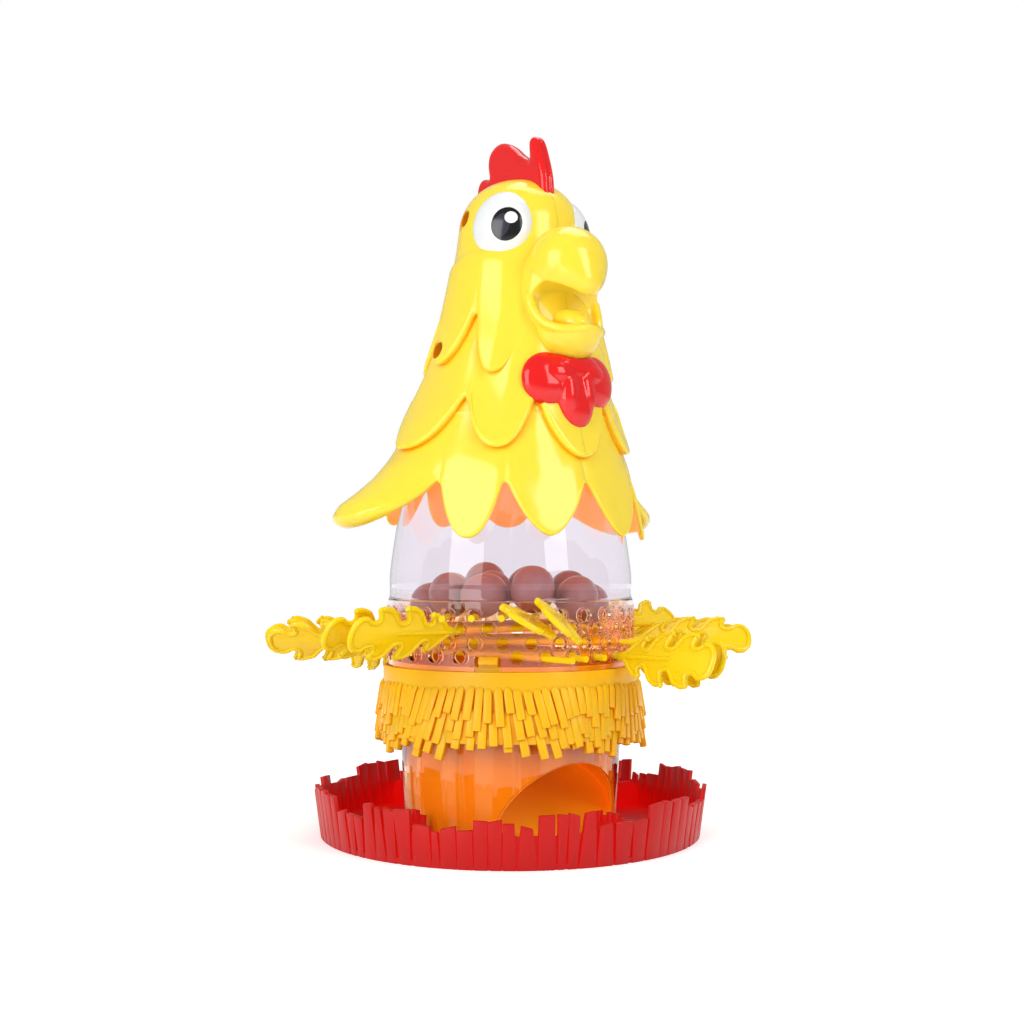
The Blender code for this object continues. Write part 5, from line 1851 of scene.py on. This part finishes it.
def add_screw_posts(shell):
    """Joins a post across the head at each screw, trimmed to the head's own form."""
    reach = 60 * MM
    core = head_core(-1.2 * MM)
    for height in SCREWS.values():
        profile = (
            (AXIS, -reach),
            (SCREW_POST_RADIUS, -reach),
            (SCREW_POST_RADIUS, reach),
            (AXIS, reach),
        )
        rod = along_x(profile, height)
        boolean(rod, copy_of(core, Matrix()), "INTERSECT")
        boolean(shell, rod, "UNION")
    bpy.data.objects.remove(core)


def add_ledge(shell):
    """Joins the ring inside the head that rests on the drum's rim."""
    inner, outer = 40.8 * MM, 50.3 * MM
    low, high = 198.3 * MM, 200.3 * MM
    ledge = turned("ledge", ((inner, low), (outer, low), (outer, high), (inner, high)))
    ledge.data.transform(Matrix.Translation((0.0, -0.9 * MM, 0.0)))
    boolean(shell, ledge, "UNION")


def bore_screw_holes(shell):
    """Cuts a wide recess from the right half's side, and a narrow hole on into the left half."""
    reach, shoulder, depth = 60 * MM, -3 * MM, 14 * MM
    for height in SCREWS.values():
        profile = (
            (AXIS, -reach),
            (SCREW_RECESS_RADIUS, -reach),
            (SCREW_RECESS_RADIUS, shoulder),
            (SCREW_BORE_RADIUS, shoulder),
            (SCREW_BORE_RADIUS, depth),
            (AXIS, depth),
        )
        boolean(shell, along_x(profile, height), "DIFFERENCE")


def colour_head_half(half):
    """Gives the inner side of a half the second material, with its painted glow, and the walls of its
    recesses the third, with its painted shade.
    """
    near = SCREW_RECESS_RADIUS + 0.2 * MM
    for face in half.data.polygons:
        x, y, z = face.center
        outwards = Vector((x, y + lean_at(z), 0.0))
        in_recess = x < 0.0 and any(math.hypot(y, z - height) < near for height in SCREWS.values())
        hidden = outwards.dot(face.normal) < -0.3 * outwards.length
        face.material_index = 2 if in_recess else int(hidden)


class BuildHead(bpy.types.Operator):
    """Models the two halves of the head: a shell in three tiers of lobes, its ledge and its screw posts"""

    bl_idname = "chicken.head"
    bl_label = "Head halves"

    def execute(self, context):
        columns = []
        for number in range(480):
            column = HeadColumn(0.75 * number)
            columns.append(column.outside() + column.inside())
        shell = lofted("head_shell", columns)
        add_screw_posts(shell)
        add_ledge(shell)
        bore_screw_holes(shell)
        materials = (head_plastic(), inner_head_plastic(), screw_hole_plastic())
        for side, name in ((-1.0, "head_right"), (1.0, "head_left")):
            half = copy_of(shell, Matrix())
            half.name = f"{name}_shell"
            room = add_block("room", (0.4, 0.8, 0.8), (side * (0.2 + 0.05 * MM), 0.0, 0.2))
            boolean(half, room, "INTERSECT")
            finish(half, "head", "yellow_plastic", materials[0], name)
            for material in materials[1:]:
                half.data.materials.append(material)
            colour_head_half(half)
        bpy.data.objects.remove(shell)
        return {"FINISHED"}


class BuildScrews(bpy.types.Operator):
    """Models the two screws that hold the head's halves together, with a cross in each head"""

    bl_idname = "chicken.screws"
    bl_label = "Head screws"

    def execute(self, context):
        material = screw_steel()
        head_radius, shank_radius = 2.9 * MM, 1.5 * MM
        slot_depth, slot_length, slot_width = 2 * MM, 3.4 * MM, 0.6 * MM
        profile = rounded(
            [
                (AXIS, SCREW_SEAT - 2.2 * MM),
                (head_radius, SCREW_SEAT - 2.0 * MM),
                (head_radius, SCREW_SEAT),
                (shank_radius, SCREW_SEAT),
                (shank_radius, SCREW_SEAT + 12 * MM),
                (AXIS, SCREW_SEAT + 13.7 * MM),
            ],
            0.5 * MM,
            3,
        )
        for place, height in SCREWS.items():
            screw = along_x(profile, height)
            middle = (SCREW_SEAT - 2.4 * MM, SCREW_LINE, height)
            for across, up in ((slot_length, slot_width), (slot_width, slot_length)):
                boolean(screw, add_block("slot", (slot_depth, across, up), middle), "DIFFERENCE")
            screw.name = f"head_screw_{place}_steel"
            finish(screw, "head", "screw_steel", material, f"head_screw_{place}")
        return {"FINISHED"}


def moulded_form(name, forms, voxel, rounds):
    """Melts overlapping forms into one skin with softened joins."""
    thing = join(forms)
    thing.name = name
    apply_modifier(thing, "REMESH", mode="VOXEL", voxel_size=voxel)
    apply_modifier(thing, "SMOOTH", factor=0.5, iterations=rounds)
    return thing


def face_oval(name, centre, radii, turn=Matrix(), columns=64, rows=40):
    """An oval of the face, with its centre and radii in millimetres."""
    return add_oval(
        name, Vector(centre) * MM, tuple(radius * MM for radius in radii), turn, columns, rows
    )


class BuildBeak(bpy.types.Operator):
    """Models the beak: flange, hooked upper bulb, lower jaw with its lip, open mouth and tongue"""

    bl_idname = "chicken.beak"
    bl_label = "Beak"

    def execute(self, context):
        tip_down = Matrix.Rotation(math.radians(14.0), 4, "X")
        upper = moulded_form(
            "upper",
            [
                face_oval("bulb", (0, -46, 268.5), (18.6, 19, 18.2)),
                face_oval("hook", (0, -53.5, 264), (14, 12.5, 12.5)),
                face_oval("hook_tip", (0, -59.5, 259.5), (8.5, 6.8, 8)),
            ],
            0.8 * MM,
            30,
        )
        boolean(upper, face_oval("root", (0, -38, 254), (20.6, 16.5, 30)), "UNION")
        roof = face_oval("roof", (0, -43.5, 246), (40, 20, 15))
        boolean(roof, face_oval("room", *MOUTH_ROOM, tip_down), "INTERSECT")
        boolean(upper, roof, "DIFFERENCE")
        jaw = face_oval("jaw", *JAW)
        boolean(jaw, face_oval("room", *MOUTH_ROOM, tip_down), "DIFFERENCE")
        rim = smooth_curve((*LIP_LINE, *((-x, y, z) for x, y, z in LIP_LINE[::-1])), 5)
        lip = add_tube("lip", [Vector(point) * MM for point in rim], 2.2 * MM)
        tongue = face_oval("tongue", (0, -49, 242), (8.5, 12, 6), tip_down)
        beak = moulded_form("beak_bulb", [upper, jaw, lip, tongue], 0.55 * MM, 7)
        finish(beak, "head", "yellow_plastic", head_plastic(), "beak", sharp=60.0)
        return {"FINISHED"}


def wattle_lobe(across, height, half_width, half_height, depth=5.5 * MM):
    """A flat oval that lies on the front of the neck, to one side by a distance."""
    low, high = height - half_height, height + half_height
    fall = profile_radius(low) + lean_at(low) - profile_radius(high) - lean_at(high)
    slope = math.atan2(fall, 2 * half_height)
    turn = math.asin(across / profile_radius(height))
    centre = head_point(math.degrees(turn), height, 0.0)
    lean = Matrix.Rotation(turn, 4, "Z") @ Matrix.Rotation(-slope, 4, "X")
    return add_oval("wattle", centre, (half_width, depth, half_height), lean, 48, 32)


class BuildWattle(bpy.types.Operator):
    """Models the red wattle: three lobes with upright folds, and the root under the jaw"""

    bl_idname = "chicken.wattle"
    bl_label = "Wattle"

    def execute(self, context):
        forms = [
            wattle_lobe(0.0, 207 * MM, 10 * MM, 15 * MM, 5.6 * MM),
            wattle_lobe(0.0, 220 * MM, 15 * MM, 8.5 * MM, 5.4 * MM),
        ]
        for side in (-1.0, 1.0):
            forms.append(wattle_lobe(side * 14 * MM, 215 * MM, 12 * MM, 12.4 * MM, 5.2 * MM))
            forms.append(wattle_lobe(side * 8.5 * MM, 217.5 * MM, 9.5 * MM, 7 * MM, 6.2 * MM))
            forms.append(wattle_lobe(side * 4.6 * MM, 209.5 * MM, 5.6 * MM, 12.6 * MM, 6.6 * MM))
        wattle = moulded_form("wattle_lobes", forms, 0.5 * MM, 8)
        boolean(wattle, face_oval("jaw", *JAW_ROOM, columns=48, rows=24), "DIFFERENCE")
        finish(wattle, "head", "red_plastic", comb_plastic(), "wattle", sharp=60.0)
        return {"FINISHED"}


class BuildComb(bpy.types.Operator):
    """Models the red comb: a thick blade with a well rounded edge"""

    bl_idname = "chicken.comb"
    bl_label = "Comb"

    def execute(self, context):
        thickness = sizes("head").comb_thickness
        outline = smooth_curve((*COMB_OUTLINE, COMB_OUTLINE[0]), 8)[:-1]
        comb = add_plate("comb", outline, thickness, 3.2 * MM, 6, 2.0 * MM)
        comb.data.transform(on_edge(0.0))
        valley_radius, out = 1.5 * MM, Vector((0.0, -2.9 * MM, 0.0))
        front = [Vector((0.0, -forward, height)) for forward, height in COMB_OUTLINE[:4]]
        for low, high in zip(front, front[1:]):
            reach = (high - low) * 0.15
            start, end = low - reach + out, high + reach + out
            boolean(comb, add_rod("valley", start, end, valley_radius, 20), "DIFFERENCE")
        comb = moulded_form("comb_blade", [comb], 0.5 * MM, 5)
        finish(comb, "head", "red_plastic", comb_plastic(), "comb", sharp=60.0)
        return {"FINISHED"}


def eye_place(side):
    """The frame of an eye: X across, Y up and Z outwards, from the middle of its oval."""
    azimuth = side * EYE_AZIMUTH
    centre = radial(azimuth, EYE_DISTANCE, EYE_HEIGHT)
    centre.y -= sizes("head").lean
    tilt = Matrix.Rotation(math.radians(EYE_TILT), 4, "X")
    return Matrix.Translation(centre) @ Matrix.Rotation(math.radians(azimuth), 4, "Z") @ tilt


def eye_print(name, side, middle, radii, tilt, proud):
    """A thin printed oval that follows the eye's dome and stands proud of it by a hair."""
    head = sizes("head")
    rings, sides = 14, 72
    points = []
    for level in (proud, proud - INK_THICKNESS):
        points.append((0.0, 0.0, level))
        for ring in range(1, rings + 1):
            for number in range(sides):
                turn = 2.0 * math.pi * number / sides
                points.append((ring / rings * math.cos(turn), ring / rings * math.sin(turn), level))
    placed = []
    for x, y, level in points:
        flat = Matrix.Rotation(math.radians(tilt), 2) @ Vector((x * radii[0], y * radii[1]))
        across, up = middle[0] + flat.x, middle[1] + flat.y
        rest = 1.0 - (across / head.eye_half_width) ** 2 - (up / head.eye_half_height) ** 2
        placed.append(eye_place(side) @ Vector((across, up, EYE_BULGE * math.sqrt(rest) + level)))
    faces = []
    half = 1 + rings * sides
    for start in (0, half):
        for number in range(sides):
            after = (number + 1) % sides
            faces.append((start, start + 1 + number, start + 1 + after))
            for ring in range(rings - 1):
                near = start + 1 + ring * sides
                faces.append((near + number, near + sides + number, near + sides + after, near + after))
    outer = 1 + (rings - 1) * sides
    for number in range(sides):
        after = (number + 1) % sides
        faces.append((outer + number, half + outer + number, half + outer + after, outer + after))
    disc = from_faces(name, placed, faces)
    clean(disc)
    return disc


class BuildEyes(bpy.types.Operator):
    """Models the two white domed eyes and their printed pupils"""

    bl_idname = "chicken.eyes"
    bl_label = "Eyes"

    def execute(self, context):
        head, tints = sizes("head"), sizes("colours")
        white = eye_plastic()
        black = printed_ink("Black pad-printed ink", linear("#08080B"))
        # The slate patch is a painted reflection: the sheen on the pupil, printed as slate ink
        sheen_ink = printed_ink("Slate pad-printed ink", tints.pupil_sheen)
        glint = printed_ink("White pad-printed ink", linear("#F4F5F6"))
        for side, name in ((-1.0, "eye_right"), (1.0, "eye_left")):
            place = eye_place(side)
            eye = add_oval(
                f"{name}_white",
                place.translation,
                (head.eye_half_width, head.eye_half_height, EYE_BULGE),
                place.to_3x3().to_4x4(),
                96,
                64,
            )
            finish(eye, "head", "white_plastic", white, name)
            middle = Vector((-side * 4.3 * MM, -2.6 * MM))
            tilt = side * PRINT_TILT
            for part, shift, (radii, proud), turn, ink in (
                ("rim", (0.0, 0.0), RIM_PRINT, tilt, black),
                ("sheen_ink", (-2.1 * MM, -0.84 * MM), PUPIL_SHEEN_PRINT, tilt, sheen_ink),
                ("glint", (2.2 * MM, 2.8 * MM), GLINT_PRINT, 0.0, glint),
            ):
                disc = eye_print(f"{name}_{part}", side, middle + Vector(shift), radii, turn, proud)
                finish(disc, "head", "white_plastic", ink)
        return {"FINISHED"}


def floor_material():
    """Matt white paper sweep: it takes the shadow, and its glow fades into the white background.

    Through clear plastic the glow is weaker, so that the plastic's tint stays on what it covers.
    """
    material, tree, shader = new_material("White paper sweep")
    path = add_node(tree, "ShaderNodeLightPath")
    seen = add_node(
        tree,
        "ShaderNodeMath",
        {0: path.outputs["Is Camera Ray"], 1: path.outputs["Is Glossy Ray"]},
        operation="MAXIMUM",
    )
    through = add_node(
        tree, "ShaderNodeMath", {0: path.outputs["Is Transmission Ray"], 1: 0.25}, operation="MULTIPLY"
    )
    seen = add_node(tree, "ShaderNodeMath", {0: seen.outputs[0], 1: through.outputs[0]}, operation="MAXIMUM")
    place = add_node(tree, "ShaderNodeTexCoord").outputs["Object"]
    distance = add_node(tree, "ShaderNodeVectorMath", {0: place}, operation="LENGTH")
    from_axis = distance.outputs["Value"]
    fade = add_node(
        tree,
        "ShaderNodeMapRange",
        {"Value": from_axis, "From Min": 0.16, "From Max": 0.5, "To Min": 0.42, "To Max": 0.6},
        interpolation_type="SMOOTHSTEP",
    )
    glow = add_node(
        tree, "ShaderNodeMath", {0: seen.outputs[0], 1: fade.outputs["Result"]}, operation="MULTIPLY"
    )
    fibre = add_node(tree, "ShaderNodeTexNoise", {"Vector": place, "Scale": 1.0 / (1.5 * MM)})
    tint = add_node(
        tree,
        "ShaderNodeMapRange",
        {"Value": fibre.outputs["Fac"], "To Min": 0.88, "To Max": 0.92},
    )
    tree.links.new(tint.outputs["Result"], shader.inputs["Base Color"])
    shader.inputs["Roughness"].default_value = 0.9
    shader.inputs["Specular IOR Level"].default_value = 0.2
    shader.inputs["Emission Color"].default_value = (1.0, 1.0, 1.0, 1.0)
    tree.links.new(glow.outputs[0], shader.inputs["Emission Strength"])
    return material


def add_lamp(name, azimuth, distance, height, aim, size, watts):
    """A soft box at an azimuth, turned to a point on the axis."""
    place = radial(azimuth, distance, height)
    turn = (Vector((0.0, 0.0, aim)) - place).to_track_quat("-Z", "Y").to_euler()
    bpy.ops.object.light_add(type="AREA", location=place, rotation=turn)
    lamp = named(name)
    lamp.data.shape = "RECTANGLE"
    lamp.data.size, lamp.data.size_y = size
    lamp.data.energy = watts
    lamp.visible_transmission = False
    return lamp


class BuildStage(bpy.types.Operator):
    """Sets the pale floor, the white background, the soft boxes and the camera"""

    bl_idname = "chicken.stage"
    bl_label = "Stage"

    def execute(self, context):
        scene = context.scene
        bpy.ops.mesh.primitive_plane_add(size=12.0)
        floor = named("floor_sweep")
        floor.data.materials.append(floor_material())
        world = scene.world or bpy.data.worlds.new("World")
        scene.world = world
        world.use_nodes = True
        tree = world.node_tree
        tree.nodes.clear()
        path = add_node(tree, "ShaderNodeLightPath")
        seen = add_node(
            tree,
            "ShaderNodeMath",
            {0: path.outputs["Is Camera Ray"], 1: path.outputs["Is Transmission Ray"]},
            operation="MAXIMUM",
        )
        level = add_node(
            tree, "ShaderNodeMapRange", {"Value": seen.outputs[0], "To Min": 0.46, "To Max": 1.0}
        )
        background = add_node(
            tree,
            "ShaderNodeBackground",
            {"Color": (1.0, 1.0, 1.0, 1.0), "Strength": level.outputs["Result"]},
        )
        output = add_node(tree, "ShaderNodeOutputWorld")
        tree.links.new(background.outputs["Background"], output.inputs["Surface"])
        for name, aside, *setting in LAMPS:
            add_lamp(name, VIEW_AZIMUTH + aside, *setting)
        bpy.ops.object.camera_add(
            location=radial(VIEW_AZIMUTH, VIEW_DISTANCE, VIEW_HEIGHT),
            rotation=(math.pi / 2, 0.0, math.radians(VIEW_AZIMUTH)),
        )
        camera = named("camera")
        camera.data.lens = VIEW_LENS
        camera.data.shift_x, camera.data.shift_y = VIEW_SHIFT
        camera.data.clip_end = 50.0
        scene.camera = camera
        scene.view_settings.view_transform = "Standard"
        return {"FINISHED"}


STEPS = (
    BuildTray,
    BuildBase,
    BuildCollar,
    BuildDrum,
    BuildEggs,
    BuildFeathers,
    BuildHead,
    BuildScrews,
    BuildBeak,
    BuildWattle,
    BuildComb,
    BuildEyes,
    BuildStage,
)


class ChickenPanel(bpy.types.Panel):
    """Lists the sizes and the build steps of the game"""

    bl_idname = "VIEW3D_PT_chicken_game"
    bl_label = "Egg-laying chicken game"
    bl_space_type = "VIEW_3D"
    bl_region_type = "UI"
    bl_category = "Chicken game"

    def draw(self, context):
        for step in STEPS:
            self.layout.operator(step.bl_idname)
        for group, kind in SETTINGS.items():
            box = self.layout.box()
            box.label(text=group.title())
            for name in kind.__annotations__:
                box.prop(sizes(group), name)


def register():
    """Registers the classes and hangs the settings on the scene."""
    for kind in (*SETTINGS.values(), *STEPS, ChickenPanel):
        bpy.utils.register_class(kind)
    for group, kind in SETTINGS.items():
        setattr(bpy.types.Scene, f"chicken_{group}", PointerProperty(type=kind))


def unregister():
    """Takes the settings and the classes away again."""
    for group in SETTINGS:
        delattr(bpy.types.Scene, f"chicken_{group}")
    for kind in (ChickenPanel, *reversed(STEPS), *SETTINGS.values()):
        bpy.utils.unregister_class(kind)


def main():
    """Registers the steps and builds every piece in order."""
    register()
    for step in STEPS:
        family, name = step.bl_idname.split(".")
        getattr(getattr(bpy.ops, family), name)()


if __name__ == "__main__":
    main()
